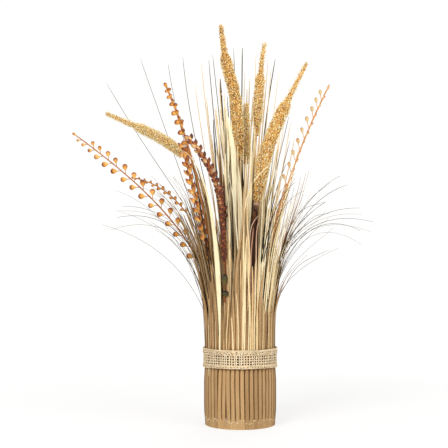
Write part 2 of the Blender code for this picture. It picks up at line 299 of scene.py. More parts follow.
@dataclass
class Batch:
    """Tubes with the same rings and sides, and what their finishes read at each point."""

    points: np.ndarray
    rings: int
    sides: int
    strand: np.ndarray
    shape: np.ndarray
    finish: int
    long: bool


class Skin:
    """Gathers the tubes of one piece and turns them into one object."""

    def __init__(self, name: str) -> None:
        """Start an empty skin for the piece of this name."""
        self.name = name
        self.batches: list[Batch] = []

    def add_strand(
        self,
        points: np.ndarray,
        rings: np.ndarray,
        across: np.ndarray,
        tone: float,
        finish: int = 0,
        twist: float = 0.0,
        cover: np.ndarray | None = None,
    ) -> None:
        """Add one long strand.

        Args:
            points: Ring centres from root to tip.
            rings: (across, outward) offsets of each ring.
            across: First sideways direction.
            tone: The strand's own shade, from 0 to 1.
            finish: Place of its finish among the piece's finishes.
            twist: Turn about its own line from root to tip, in radians.
            cover: At each ring, 1 where painted shade covers the whole strand and -1 where its
            sides get none; None where only its sides get painted shade.
        """
        count, sides = rings.shape[:2]
        side, out = carried_sides(points, across)
        marks = np.linspace(0.0, 1.0, count)
        turn = (twist * marks)[:, None]
        side, out = side * np.cos(turn) + out * np.sin(turn), out * np.cos(turn) - side * np.sin(turn)
        skin = points[:, None] + side[:, None] * rings[..., :1] + out[:, None] * rings[..., 1:]
        run = np.concatenate([[0.0], np.cumsum(np.linalg.norm(np.diff(points, axis=0), axis=1))])
        half = np.abs(rings[..., 0]).max(axis=1, keepdims=True) + 1e-6
        share = np.abs(rings[..., 0]) / half
        if cover is not None:
            cover = cover[:, None]
            share = np.where(cover > 0, share + cover * (1 - share), share * (1 + cover))
        girth = np.linalg.norm(np.diff(rings, axis=1, append=rings[:, :1]), axis=2)
        around = np.cumsum(girth, axis=1) - girth
        seed = (tone * 977.0 + float(points[0] @ (3.1, 7.7, 0.0)) + 13.0 * len(self.batches)) % 97.0
        strand = np.stack([around, run[:, None] + 0 * around, 0 * around + seed], axis=-1)
        along = (run / run[-1])[:, None] + 0 * share
        shape = np.stack([along, share, 0 * share + tone], axis=-1)
        ends = [skin[0].mean(axis=0), skin[-1].mean(axis=0)]
        self.batches.append(
            Batch(
                with_ends(skin, ends[0], ends[1])[None],
                count,
                sides,
                with_ends(strand, strand[0, 0], strand[-1, 0])[None],
                with_ends(shape, shape[0].mean(axis=0), shape[-1].mean(axis=0))[None],
                finish,
                True,
            )
        )

    def add_copies(
        self,
        model: "Lathe",
        places: np.ndarray,
        axes: np.ndarray,
        sizes: np.ndarray,
        tones: np.ndarray,
        finish: int = 0,
    ) -> None:
        """Add a turned shape many times.

        Args:
            model: The turned shape, one long, standing on its base.
            places: Base of each copy.
            axes: Direction of each copy's length.
            sizes: Width, depth and length of each copy.
            tones: Each copy's own shade, from 0 to 1.
            finish: Place of the finish among the piece's finishes.
        """
        axes = unit(axes)
        helper = np.where(np.abs(axes[:, 2:]) < 0.9, UP, RIGHT)
        side = unit(np.cross(helper, axes))
        out = np.cross(axes, side)
        frame = np.stack([side, out, axes], axis=1) * sizes[:, :, None]
        points = np.einsum("vi,nij->nvj", model.points, frame) + places[:, None]
        count = len(places)
        along = np.broadcast_to(model.points[:, 2], (count, len(model.points)))
        tone = np.broadcast_to(tones[:, None], along.shape)
        seed = (np.arange(count)[:, None] * 7.31) % 89.0 + 0 * along
        strand = np.stack([model.points[:, 0] + 0 * along, along * sizes[:, 2:], seed], axis=-1)
        shape = np.stack([along, 0 * along, tone], axis=-1)
        self.batches.append(
            Batch(points, model.rings, model.sides, strand, shape, finish, False)
        )

    def layout(self) -> list[np.ndarray]:
        """Corner and size of each tube's own field in the piece's flat layout.

        Long strands lie in rows at the bottom, and small shapes fill a grid above.

        Returns:
            For each batch, rows of (left, low, width, height, 1 where it lies along the row).
        """
        longs = sum(len(batch.points) for batch in self.batches if batch.long)
        smalls = sum(len(batch.points) for batch in self.batches if not batch.long)
        share = 1.0 if smalls == 0 else min(0.5, longs * 0.02)
        columns = max(1, math.ceil(math.sqrt(smalls / (1.001 - share))))
        lines = max(1, math.ceil(smalls / columns))
        fields = []
        row = 0
        cell = 0
        for batch in self.batches:
            count = len(batch.points)
            number = np.arange(count)
            if batch.long:
                low = (row + number) * share / max(1, longs)
                height = share / max(1, longs)
                fields.append(np.stack([0 * low, low, 0 * low + 1, 0 * low + height, 0 * low + 1], -1))
                row += count
                continue
            number = number + cell
            height = (1.0 - share) / lines
            left = (number % columns) / columns
            low = share + (number // columns) * height
            fields.append(np.stack([left, low, 0 * left + 1 / columns, 0 * left + height, 0 * left], -1))
            cell += count
        return fields

    def build_mesh(self) -> bpy.types.Mesh:
        """One mesh of all the tubes, with what the finishes read and the flat layout."""
        mesh = bpy.data.meshes.new(self.name)
        points, strand, shape = [], [], []
        loops, starts, flats, finishes = [], [], [], []
        base = 0
        corner = 0
        for batch, fields in zip(self.batches, self.layout()):
            count, size = batch.points.shape[:2]
            points.append(batch.points.reshape(-1, 3))
            strand.append(batch.strand.reshape(-1, 3))
            shape.append(batch.shape.reshape(-1, 3))
            tris, quads, flat_tris, flat_quads = tube_faces(batch.rings, batch.sides)
            offset = base + np.arange(count)[:, None, None] * size
            for faces, flat in ((tris, flat_tris), (quads, flat_quads)):
                if not len(faces):
                    continue
                corners = faces.shape[1]
                loops.append((faces[None] + offset).ravel())
                number = count * len(faces)
                starts.append(corner + np.arange(number) * corners)
                corner += number * corners
                finishes.append(np.full(number, batch.finish))
                flats.append(placed(flat, fields).reshape(-1, 2))
            base += count * size
        vertices = np.vstack(points) * METRES_PER_MM
        mesh.vertices.add(len(vertices))
        mesh.vertices.foreach_set("co", vertices.ravel())
        mesh.loops.add(corner)
        mesh.loops.foreach_set("vertex_index", np.concatenate(loops).astype(np.int32))
        faces = np.concatenate(starts)
        mesh.polygons.add(len(faces))
        mesh.polygons.foreach_set("loop_start", faces.astype(np.int32))
        mesh.polygons.foreach_set("material_index", np.concatenate(finishes).astype(np.int32))
        mesh.update(calc_edges=True)
        for name, values in (("strand", strand), ("shape", shape)):
            attribute = mesh.attributes.new(name, "FLOAT_VECTOR", "POINT")
            attribute.data.foreach_set("vector", np.vstack(values).ravel())
        layer = mesh.uv_layers.new(name="OFBake")
        layer.uv.foreach_set("vector", np.vstack(flats).ravel())
        mesh.shade_smooth()
        mesh.set_sharp_from_angle(angle=math.radians(SHARPEST_BEND))
        return mesh

    def finish(self, materials: list[bpy.types.Material], slot: str, nodes: list[str]) -> bpy.types.Object:
        """Make the object, dress it, set it in the place of its CAD nodes and log it.

        Args:
            materials: The piece's finishes, in the order that its tubes name them.
            slot: The record's material slot; not used.
            nodes: CAD nodes that the piece stands for.

        Returns:
            The finished object.
        """
        mesh = self.build_mesh()
        for material in materials:
            mesh.materials.append(material)
        piece = bpy.data.objects.new(self.name, mesh)
        bpy.context.scene.collection.objects.link(piece)
        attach(piece, "root")
        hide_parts(*nodes)
        triangles = sum(len(face.vertices) - 2 for face in mesh.polygons)
        LOG.info("%s: %d triangles", piece.name, triangles)
        return piece


def with_ends(rings: np.ndarray, low: np.ndarray, high: np.ndarray) -> np.ndarray:
    """The rings as one list of points between a first and a last one."""
    return np.vstack([low[None], rings.reshape(-1, 3), high[None]])


def placed(flat: np.ndarray, fields: np.ndarray) -> np.ndarray:
    """A tube's flat layout moved into each tube's own field.

    Args:
        flat: Layout of one tube's faces, from 0 to 1.
        fields: One row for each tube, as Skin.layout gives them.

    Returns:
        Layout of the shape (tubes, faces, corners, 2).
    """
    lying = fields[:, 4][:, None, None, None] > 0.5
    turned = np.where(lying, flat[None, ..., ::-1], flat[None])
    inset = 0.06 + 0.88 * turned
    inset = np.where(lying & (np.arange(2) == 0), 0.003 + 0.994 * turned, inset)
    corner = fields[:, None, None, 0:2]
    size = fields[:, None, None, 2:4]
    return corner + inset * size


@dataclass(frozen=True)
class Lathe:
    """A small turned shape, one long: its radius at each height between its two ends."""

    heights: tuple[float, ...]
    radii: tuple[float, ...]
    sides: int

    @property
    def rings(self) -> int:
        """Number of rings between the two ends."""
        return len(self.heights)

    @cached_property
    def points(self) -> np.ndarray:
        """Points of the shape with a radius of 1 at its widest."""
        turn = np.arange(self.sides) * 2 * math.pi / self.sides
        rows = [[0.0, 0.0, 0.0]]
        for height, radius in zip(self.heights, self.radii):
            for angle in turn:
                rows.append([radius * math.cos(angle), radius * math.sin(angle), height])
        rows.append([0.0, 0.0, 1.0])
        return np.array(rows)


GRAIN = Lathe((0.42,), (1.0,), 5)
BRISTLE = Lathe((0.06,), (1.0,), 3)
BUD = Lathe(
    (0.02, 0.1, 0.24, 0.4, 0.56, 0.7, 0.82, 0.91, 0.97),
    (0.16, 0.3, 0.58, 0.84, 0.98, 1.0, 0.88, 0.64, 0.36),
    12,
)
POD = Lathe((0.03, 0.12, 0.3, 0.5, 0.68, 0.84, 0.94), (0.25, 0.5, 0.88, 1.0, 0.84, 0.48, 0.2), 9)
BEAD = Lathe((0.15, 0.5, 0.85), (0.7, 1.0, 0.7), 6)


# ---------------------------------------------------------------- finishes


class Wiring:
    """Places and links the nodes of one tree."""

    def __init__(self, tree: bpy.types.NodeTree) -> None:
        """Work in this tree."""
        self.tree = tree

    def node(self, kind: str, **settings: object) -> bpy.types.Node:
        """A new node of this kind with these settings."""
        node = self.tree.nodes.new(kind)
        for name, value in settings.items():
            setattr(node, name, value)
        return node

    def link(self, source: bpy.types.NodeSocket, target: bpy.types.NodeSocket) -> None:
        """Join an output to an input."""
        self.tree.links.new(source, target)

    def value(self, source: object, target: bpy.types.NodeSocket) -> None:
        """Give an input a link or a plain value, whichever source is."""
        if isinstance(source, bpy.types.NodeSocket):
            self.link(source, target)
        else:
            target.default_value = source

    def math(self, operation: str, *terms: object, clamp: bool = True) -> bpy.types.NodeSocket:
        """Output of a Math node, held between 0 and 1 unless clamp is off."""
        node = self.node("ShaderNodeMath", operation=operation, use_clamp=clamp)
        for term, socket in zip(terms, node.inputs):
            self.value(term, socket)
        return node.outputs[0]

    def remap(
        self, value: object, source: tuple[object, object], target: Pair = (0.0, 1.0), smooth: bool = False
    ) -> bpy.types.NodeSocket:
        """A value moved from one range to another and held inside it.

        Args:
            value: The value.
            source: Ends of the range that it comes from, each a number or a socket.
            target: Ends of the range that it goes to.
            smooth: Whether it eases in and out at the ends.

        Returns:
            The value's output.
        """
        node = self.node("ShaderNodeMapRange", interpolation_type="SMOOTHSTEP" if smooth else "LINEAR")
        ends = zip(("From Min", "From Max", "To Min", "To Max"), (*source, *target))
        for name, end in (("Value", value), *ends):
            self.value(end, node.inputs[name])
        return node.outputs[0]

    def noise(
        self, place: bpy.types.NodeSocket | None, scale: object, detail: float = 2.0
    ) -> bpy.types.NodeSocket:
        """Soft noise from 0 to 1.

        Args:
            place: Where it is read, or None for the piece's own space.
            scale: How fine it is.
            detail: How many finer layers it has.

        Returns:
            The noise's output.
        """
        node = self.node("ShaderNodeTexNoise")
        if place:
            self.link(place, node.inputs["Vector"])
        self.value(scale, node.inputs["Scale"])
        node.inputs["Detail"].default_value = detail
        return node.outputs["Fac"]

    def stretch(self, vector: bpy.types.NodeSocket, scale: object) -> bpy.types.NodeSocket:
        """A vector scaled along each of its three axes."""
        node = self.node("ShaderNodeVectorMath", operation="MULTIPLY")
        self.link(vector, node.inputs[0])
        self.value(scale, node.inputs[1])
        return node.outputs[0]

    def mix(self, share: object, first: object, second: object, blend: str = "MIX") -> bpy.types.NodeSocket:
        """A blend of two colours.

        Args:
            share: How much of the second colour shows.
            first: First colour, or a socket that gives it.
            second: Second colour, or a socket that gives it.
            blend: How the two are blended.

        Returns:
            The colour output.
        """
        node = self.node("ShaderNodeMix", data_type="RGBA", blend_type=blend)
        self.value(share, node.inputs[0])
        for source, socket in ((first, node.inputs[6]), (second, node.inputs[7])):
            self.value((*source, 1.0) if isinstance(source, tuple) else source, socket)
        return node.outputs[2]

    def tint(
        self,
        colour: object,
        share: bpy.types.NodeSocket,
        most: object,
        over: Triple,
        blend: str = "MULTIPLY",
    ) -> bpy.types.NodeSocket:
        """A colour with another laid over it where the share is high, and at most as much as given."""
        return self.mix(self.math("MULTIPLY", share, most), colour, over, blend)

    def ramp(self, share: object, stops: tuple[tuple[float, Triple], ...]) -> bpy.types.NodeSocket:
        """A colour read from a run of stops.

        Args:
            share: Place along the run.
            stops: Place and colour of each stop.

        Returns:
            The colour output.
        """
        node = self.node("ShaderNodeValToRGB")
        elements = node.color_ramp.elements
        while len(elements) < len(stops):
            elements.new(0.5)
        for element, (place, colour) in zip(elements, stops):
            element.position = place
            element.color = (*colour, 1.0)
        self.value(share, node.inputs[0])
        return node.outputs[0]

    def attribute(self, name: str) -> bpy.types.NodeSocket:
        """The vector that each point of the mesh holds under this name."""
        return self.node("ShaderNodeAttribute", attribute_name=name).outputs["Vector"]

    def part(self, vector: bpy.types.NodeSocket, axis: int) -> bpy.types.NodeSocket:
        """One of the three values of a vector."""
        node = self.node("ShaderNodeSeparateXYZ")
        self.link(vector, node.inputs[0])
        return node.outputs[axis]


@dataclass(frozen=True)
class EffectGroup:
    """A shader effect that several finishes share: its name, inputs and outputs."""

    name: str
    inputs: tuple[tuple[str, float], ...]
    outputs: tuple[str, ...]

    def start(self) -> tuple[Wiring, bpy.types.Node, bpy.types.Node]:
        """Make the group's tree and sockets.

        Returns:
            Its wiring, its input node and its output node.
        """
        tree = bpy.data.node_groups.new(self.name, "ShaderNodeTree")
        for name, default in self.inputs:
            socket = tree.interface.new_socket(name=name, in_out="INPUT", socket_type="NodeSocketFloat")
            socket.default_value = default
        for name in self.outputs:
            tree.interface.new_socket(name=name, in_out="OUTPUT", socket_type="NodeSocketFloat")
        wiring = Wiring(tree)
        return wiring, wiring.node("NodeGroupInput"), wiring.node("NodeGroupOutput")

    def build(self) -> None:
        """Make the whole group; each effect says how."""
        raise NotImplementedError

    def place(self, wiring: Wiring, **values: float) -> bpy.types.Node:
        """Place the group in a finish.

        Args:
            wiring: The finish's wiring.
            **values: Values of its inputs, with _ for a space in a name.

        Returns:
            The group node.
        """
        node = wiring.node("ShaderNodeGroup", node_tree=bpy.data.node_groups[self.name])
        for name, value in values.items():
            wiring.value(value, node.inputs[name.replace("_", " ").capitalize()])
        return node


@dataclass(frozen=True)
class FibreGroup(EffectGroup):
    """Fine streaks that run along a strand, different on every strand."""

    name: str = "fibre_streaks"
    inputs: tuple[tuple[str, float], ...] = (
        ("Streaks per mm", 1.2),
        ("Length share", 0.03),
        ("Contrast", 1.6),
    )
    outputs: tuple[str, ...] = ("Streaks", "Height")

    def build(self) -> None:
        """Stretch a noise along the strand."""
        wiring, inputs, outputs = self.start()
        fine = inputs.outputs["Streaks per mm"]
        scale = wiring.node("ShaderNodeCombineXYZ")
        wiring.link(fine, scale.inputs[0])
        along = wiring.math("MULTIPLY", fine, inputs.outputs["Length share"], clamp=False)
        wiring.link(along, scale.inputs[1])
        scale.inputs[2].default_value = 3.7
        noise = wiring.noise(wiring.stretch(wiring.attribute("strand"), scale.outputs[0]), 1.0, 3.0)
        centred = wiring.math("SUBTRACT", noise, 0.5, clamp=False)
        wider = wiring.math("MULTIPLY_ADD", centred, inputs.outputs["Contrast"], 0.5)
        wiring.link(wider, outputs.inputs["Streaks"])
        wiring.link(noise, outputs.inputs["Height"])


@dataclass(frozen=True)
class SideShadeGroup(EffectGroup):
    """Painted shade on a strand's two sides, where it lies between its neighbours."""

    name: str = "side_shade"
    inputs: tuple[tuple[str, float], ...] = (("Start", 0.6), ("End", 1.0), ("Amount", 1.0))
    outputs: tuple[str, ...] = ("Shade",)

    def build(self) -> None:
        """Read how far a point lies from the strand's middle."""
        wiring, inputs, outputs = self.start()
        edge = wiring.part(wiring.attribute("shape"), 1)
        spread = wiring.remap(edge, (inputs.outputs["Start"], inputs.outputs["End"]), smooth=True)
        shade = wiring.math("MULTIPLY", spread, inputs.outputs["Amount"])
        wiring.link(shade, outputs.inputs["Shade"])


@dataclass(frozen=True)
class LengthGroup(EffectGroup):
    """A share that grows from the root of a strand, grain or bud to its tip."""

    name: str = "root_to_tip"
    inputs: tuple[tuple[str, float], ...] = (("Start", 0.0), ("End", 1.0), ("Raggedness", 0.1))
    outputs: tuple[str, ...] = ("Share",)

    def build(self) -> None:
        """Read how far a point lies along, with a little noise."""
        wiring, inputs, outputs = self.start()
        along = wiring.part(wiring.attribute("shape"), 0)
        noise = wiring.noise(wiring.attribute("strand"), 1.3)
        centred = wiring.math("SUBTRACT", noise, 0.5, clamp=False)
        ragged = wiring.math("MULTIPLY_ADD", centred, inputs.outputs["Raggedness"], along, clamp=False)
        share = wiring.remap(ragged, (inputs.outputs["Start"], inputs.outputs["End"]), smooth=True)
        wiring.link(share, outputs.inputs["Share"])


@dataclass(frozen=True)
class AgeGroup(EffectGroup):
    """Uneven ageing and dust: soft blotches and small specks over the whole sheaf."""

    name: str = "age_and_dust"
    inputs: tuple[tuple[str, float], ...] = (("Blotch size mm", 40.0), ("Speck size mm", 2.0))
    outputs: tuple[str, ...] = ("Blotches", "Specks")

    def build(self) -> None:
        """Lay a wide noise and a fine one over the object's own space."""
        wiring, inputs, outputs = self.start()
        place = wiring.node("ShaderNodeTexCoord").outputs["Object"]
        effects = (("Blotch size mm", "Blotches", (0.35, 0.65)), ("Speck size mm", "Specks", (0.58, 0.72)))
        for size, name, ends in effects:
            scale = wiring.math("DIVIDE", 1.0 / METRES_PER_MM, inputs.outputs[size], clamp=False)
            spread = wiring.remap(wiring.noise(place, scale), ends)
            wiring.link(spread, outputs.inputs[name])


FIBRES = FibreGroup()
SIDE_SHADE = SideShadeGroup()
LENGTH = LengthGroup()
AGE = AgeGroup()


@dataclass(frozen=True)
class Finish:
    """A surface finish: its name, and the plain values of its shader."""

    gloss: ClassVar[float] = 0.12

    name: str
    roughness: float

    def start(self) -> tuple[bpy.types.Material, Wiring, bpy.types.Node]:
        """Make the material.

        Returns:
            The material, its wiring and its Principled BSDF.
        """
        material = bpy.data.materials.new(self.name)
        material.use_nodes = True
        shader = material.node_tree.nodes["Principled BSDF"]
        shader.inputs["Roughness"].default_value = self.roughness
        shader.inputs["Specular IOR Level"].default_value = self.gloss
        return material, Wiring(material.node_tree), shader

    def bump(
        self, wiring: Wiring, shader: bpy.types.Node, height: bpy.types.NodeSocket, depth: float
    ) -> None:
        """Raise the surface by a height.

        Args:
            wiring: The material's wiring.
            shader: Its Principled BSDF.
            height: Height from 0 to 1.
            depth: Height of 1 in millimetres.
        """
        node = wiring.node("ShaderNodeBump")
        node.inputs["Distance"].default_value = depth * METRES_PER_MM
        node.inputs["Strength"].default_value = 0.8
        wiring.link(height, node.inputs["Height"])
        wiring.link(node.outputs["Normal"], shader.inputs["Normal"])

    def build(self) -> bpy.types.Material:
        """Make the whole material; each finish says how."""
        raise NotImplementedError


@dataclass(frozen=True)
class StrawFinish(Finish):
    """Dry straw, leaf or blade: a tone of its own, long fibres and painted shade on its sides."""

    tones: tuple[tuple[float, Triple], ...]
    fibre_dark: Triple
    painted_side_shade: Triple
    tip_colour: Triple
    tip_start: float = 0.6
    tip_amount: float = 0.5
    side_amount: float = 0.75
    fibre_amount: float = 0.45
    fibre_depth: float = 0.35
    streaks: float = 1.2

    def build(self) -> bpy.types.Material:
        """Blend the strand's tone with its fibres, painted side shade, tip and age."""
        material, wiring, shader = self.start()
        colour = wiring.ramp(wiring.part(wiring.attribute("shape"), 2), self.tones)
        fibres = FIBRES.place(wiring, streaks_per_mm=self.streaks, contrast=2.4)
        colour = wiring.tint(colour, fibres.outputs["Streaks"], self.fibre_amount, self.fibre_dark)
        tip = LENGTH.place(wiring, start=self.tip_start, end=1.0)
        colour = wiring.tint(colour, tip.outputs["Share"], self.tip_amount, self.tip_colour, "MIX")
        # Painted shade on the sides, and over the whole strand where its cover asks for it
        shade = SIDE_SHADE.place(wiring, start=0.62, end=1.0, amount=self.side_amount)
        colour = wiring.mix(shade.outputs["Shade"], colour, self.painted_side_shade, "MULTIPLY")
        age = AGE.place(wiring)
        colour = wiring.tint(colour, age.outputs["Blotches"], 0.22, (0.72, 0.60, 0.47))
        colour = wiring.tint(colour, age.outputs["Specks"], 0.3, self.fibre_dark)
        wiring.link(colour, shader.inputs["Base Color"])
        ends = (self.roughness - 0.1, self.roughness + 0.12)
        wiring.link(wiring.remap(fibres.outputs["Streaks"], (0.0, 1.0), ends), shader.inputs["Roughness"])
        self.bump(wiring, shader, fibres.outputs["Height"], self.fibre_depth)
        return material


@dataclass(frozen=True)
class SeedFinish(Finish):
    """Seed grains and bristles: each its own shade, dark at the base and pale at the tip."""

    tones: tuple[tuple[float, Triple], ...]
    base_dark: Triple
    tip_pale: Triple

    def build(self) -> bpy.types.Material:
        """Blend each grain's shade with its dark base and pale tip."""
        material, wiring, shader = self.start()
        colour = wiring.ramp(wiring.part(wiring.attribute("shape"), 2), self.tones)
        base = LENGTH.place(wiring, start=0.05, end=0.4)
        low = wiring.math("SUBTRACT", 1.0, base.outputs["Share"])
        colour = wiring.tint(colour, low, 0.4, self.base_dark)
        tip = LENGTH.place(wiring, start=0.6, end=1.0)
        colour = wiring.tint(colour, tip.outputs["Share"], 0.4, self.tip_pale, "MIX")
        age = AGE.place(wiring, blotch_size_mm=9.0, speck_size_mm=1.2)
        colour = wiring.tint(colour, age.outputs["Specks"], 0.3, self.base_dark)
        colour = wiring.tint(colour, age.outputs["Blotches"], 0.4, (1.0, 0.78, 0.62))
        wiring.link(colour, shader.inputs["Base Color"])
        fibres = FIBRES.place(wiring, streaks_per_mm=3.0, contrast=1.5)
        self.bump(wiring, shader, fibres.outputs["Height"], 0.2)
        return material


@dataclass(frozen=True)
class BudFinish(Finish):
    """A waxy bud: its lower half, its middle and its dark tip, with a soft gloss."""

    gloss: ClassVar[float] = 0.25

    base: Triple
    middle: Triple
    tip: Triple
    pale: Triple
    tip_start: float = 0.55

    def build(self) -> bpy.types.Material:
        """Run the colours from the bud's base to its tip and add fine ribs."""
        material, wiring, shader = self.start()
        shader.inputs["Coat Weight"].default_value = 0.12
        shader.inputs["Coat Roughness"].default_value = 0.2
        swell = LENGTH.place(wiring, start=0.15, end=0.6, raggedness=0.15)
        colour = wiring.mix(swell.outputs["Share"], self.base, self.middle)
        tone = wiring.part(wiring.attribute("shape"), 2)
        light = wiring.math("SUBTRACT", wiring.math("MULTIPLY", tone, 2.0, clamp=False), 1.0)
        shade = wiring.math("SUBTRACT", 1.0, wiring.math("MULTIPLY", tone, 2.0))
        colour = wiring.mix(light, colour, self.pale)
        colour = wiring.tint(colour, shade, 0.8, self.tip, "MIX")
        dark = LENGTH.place(wiring, start=self.tip_start, end=0.95, raggedness=0.3)
        less = wiring.math("SUBTRACT", 1.0, wiring.math("MULTIPLY", light, 0.5))
        colour = wiring.tint(colour, dark.outputs["Share"], less, self.tip, "MIX")
        age = AGE.place(wiring, blotch_size_mm=6.0, speck_size_mm=1.0)
        colour = wiring.tint(colour, age.outputs["Specks"], 0.35, (0.5, 0.3, 0.2))
        wiring.link(colour, shader.inputs["Base Color"])
        fibres = FIBRES.place(wiring, streaks_per_mm=2.2, length_share=0.2, contrast=1.4)
        self.bump(wiring, shader, fibres.outputs["Height"], 0.25)
        return material


@dataclass(frozen=True)
class BurlapFinish(Finish):
    """Jute thread: twisted plies with painted shade in the furrows between their pale ridges, and a few
    brown fibres.
    """

    tones: tuple[tuple[float, Triple], ...]
    furrow: Triple
    twist: float = 0.9

    def build(self) -> bpy.types.Material:
        """Wind slanting plies round every thread."""
        material, wiring, shader = self.start()
        colour = wiring.ramp(wiring.part(wiring.attribute("shape"), 2), self.tones)
        plies = wiring.node("ShaderNodeTexWave", wave_type="BANDS", bands_direction="DIAGONAL")
        plies.inputs["Scale"].default_value = 0.55
        plies.inputs["Distortion"].default_value = 1.6
        plies.inputs["Detail"].default_value = 2.0
        slant = wiring.stretch(wiring.attribute("strand"), (self.twist, self.twist * 0.75, 0.4))
        wiring.link(slant, plies.inputs["Vector"])
        # Painted shade in the low furrows between the plies; the furrow colour also tints the specks
        ply_furrow_shade = wiring.math("POWER", wiring.math("SUBTRACT", 1.0, plies.outputs["Fac"]), 2.2)
        colour = wiring.tint(colour, ply_furrow_shade, 0.5, self.furrow)
        age = AGE.place(wiring, blotch_size_mm=12.0, speck_size_mm=0.9)
        colour = wiring.tint(colour, age.outputs["Specks"], 0.45, self.furrow)
        colour = wiring.tint(colour, age.outputs["Blotches"], 0.2, (0.8, 0.7, 0.62))
        wiring.link(colour, shader.inputs["Base Color"])
        self.bump(wiring, shader, plies.outputs["Fac"], 0.35)
        return material


# In each straw finish the three colours after the tones are the fibres' dark, the painted side shade and
# the tip colour
STRAW = StrawFinish(
    "dry_straw",
    0.62,
    (
        (0.0, (0.13, 0.065, 0.022)),
        (0.2, (0.33, 0.20, 0.092)),
        (0.5, (0.61, 0.405, 0.20)),
        (0.78, (0.90, 0.61, 0.28)),
        (1.0, (1.0, 0.85, 0.52)),
    ),
    (0.55, 0.38, 0.21),
    (0.27, 0.15, 0.055),
    (0.86, 0.60, 0.30),
    tip_amount=0.3,
)
WEATHERED = StrawFinish(
    "weathered_straw",
    0.68,
    (
        (0.0, (0.07, 0.04, 0.018)),
        (0.25, (0.21, 0.125, 0.052)),
        (0.55, (0.42, 0.275, 0.13)),
        (1.0, (0.66, 0.48, 0.28)),
    ),
    (0.54, 0.41, 0.28),
    (0.34, 0.23, 0.14),
    (0.24, 0.165, 0.085),
)
DARK_BLADE = StrawFinish(
    "dark_blade",
    0.6,
    (
        (0.0, (0.016, 0.010, 0.005)),
        (0.5, (0.038, 0.024, 0.011)),
        (1.0, (0.15, 0.10, 0.05)),
    ),
    (0.6, 0.48, 0.36),
    (0.5, 0.40, 0.30),
    (0.07, 0.05, 0.028),
    side_amount=0.4,
)
CREAM = StrawFinish(
    "cream_leaf",
    0.58,
    (
        (0.0, (0.80, 0.62, 0.34)),
        (0.5, (1.0, 0.87, 0.56)),
        (1.0, (1.0, 0.97, 0.74)),
    ),
    (0.90, 0.82, 0.68),
    (0.80, 0.68, 0.50),
    (0.95, 0.80, 0.50),
    side_amount=0.35,
    fibre_amount=0.4,
    streaks=1.6,
)
PLUM = StrawFinish(
    "plum_strand",
    0.6,
    (
        (0.0, (0.022, 0.007, 0.003)),
        (0.5, (0.17, 0.065, 0.028)),
        (0.8, (0.50, 0.27, 0.16)),
        (1.0, (0.90, 0.62, 0.44)),
    ),
    (0.6, 0.45, 0.36),
    (0.45, 0.32, 0.26),
    (0.20, 0.07, 0.05),
    tip_amount=0.05,
)
SEED = SeedFinish(
    "golden_seed",
    0.7,
    (
        (0.0, (0.22, 0.10, 0.018)),
        (0.2, (0.55, 0.27, 0.05)),
        (0.4, (1.0, 0.60, 0.14)),
        (0.7, (1.0, 0.80, 0.32)),
        (1.0, (1.0, 0.97, 0.72)),
    ),
    (0.62, 0.42, 0.22),
    (1.0, 0.92, 0.64),
)
TWIG = StrawFinish(
    "spray_twig",
    0.55,
    (
        (0.0, (0.16, 0.03, 0.012)),
        (0.35, (0.40, 0.15, 0.045)),
        (0.7, (0.78, 0.38, 0.10)),
        (1.0, (0.95, 0.60, 0.30)),
    ),
    (0.6, 0.4, 0.3),
    (0.5, 0.35, 0.25),
    (0.62, 0.27, 0.08),
    side_amount=0.4,
)
ORANGE_BUD = BudFinish(
    "orange_bud", 0.42, (1.0, 0.60, 0.15), (0.92, 0.38, 0.06), (0.17, 0.025, 0.008), (1.0, 0.76, 0.34), 0.42
)
WINE_BUD = BudFinish(
    "wine_bud", 0.42, (0.74, 0.31, 0.08), (0.42, 0.09, 0.025), (0.05, 0.008, 0.005), (0.95, 0.60, 0.26), 0.4
)
SALMON_BUD = BudFinish(
    "salmon_bud", 0.5, (0.86, 0.62, 0.28), (0.80, 0.40, 0.17), (0.36, 0.12, 0.04), (0.70, 0.60, 0.28), 0.6
)
OLIVE_BUD = BudFinish(
    "olive_bud",
    0.2,
    (0.17, 0.125, 0.03),
    (0.085, 0.07, 0.018),
    (0.012, 0.012, 0.004),
    (0.34, 0.28, 0.10),
    0.5,
)
# The darkest burlap tone colours only the painted shade sheet and the painted gaps; the threads use the
# paler tones
BURLAP = BurlapFinish(
    "burlap",
    0.88,
    (
        (0.0, (0.05, 0.02, 0.005)),
        (0.3, (1.0, 0.68, 0.38)),
        (0.7, (1.0, 0.82, 0.54)),
        (1.0, (1.0, 0.88, 0.64)),
    ),
    (0.62, 0.42, 0.24),
)
GLUE = StrawFinish(
    "glue_bead",
    0.35,
    ((0.0, (0.60, 0.42, 0.22)), (1.0, (1.0, 0.86, 0.58))),
    (0.8, 0.7, 0.55),
    (0.8, 0.7, 0.55),
    (0.9, 0.75, 0.5),
)


class Palette:
    """Builds every finish once and hands it out by its description."""

    def __init__(self) -> None:
        """Build the shared effects first."""
        for group in (FIBRES, SIDE_SHADE, LENGTH, AGE):
            group.build()
        self.made: dict[str, bpy.types.Material] = {}

    def get(self, finish: Finish) -> bpy.types.Material:
        """The material of this finish."""
        if finish.name not in self.made:
            self.made[finish.name] = finish.build()
        return self.made[finish.name]

    def choose(self, *finishes: Finish) -> list[bpy.types.Material]:
        """The materials of several finishes, in their order."""
        return [self.get(finish) for finish in finishes]


# ---------------------------------------------------------------- the sheaf


def polar(azimuth: float, reach: float, height: float | None = None) -> tuple[float, ...]:
    """A point at this azimuth in degrees and distance from the middle, at a height if one is given."""
    turn = math.radians(azimuth)
    flat = (reach * math.cos(turn), reach * math.sin(turn))
    return flat if height is None else (*flat, height)


def foot_radius(height: np.ndarray) -> np.ndarray:
    """Outer radius of the ring of straws: drawn in at the floor and from the band up."""
    taper = 1.8 * (1 - ease(height / 26.0))
    return FOOT_RADIUS - taper - 1.3 * ease((height - 70.0) / 18.0)


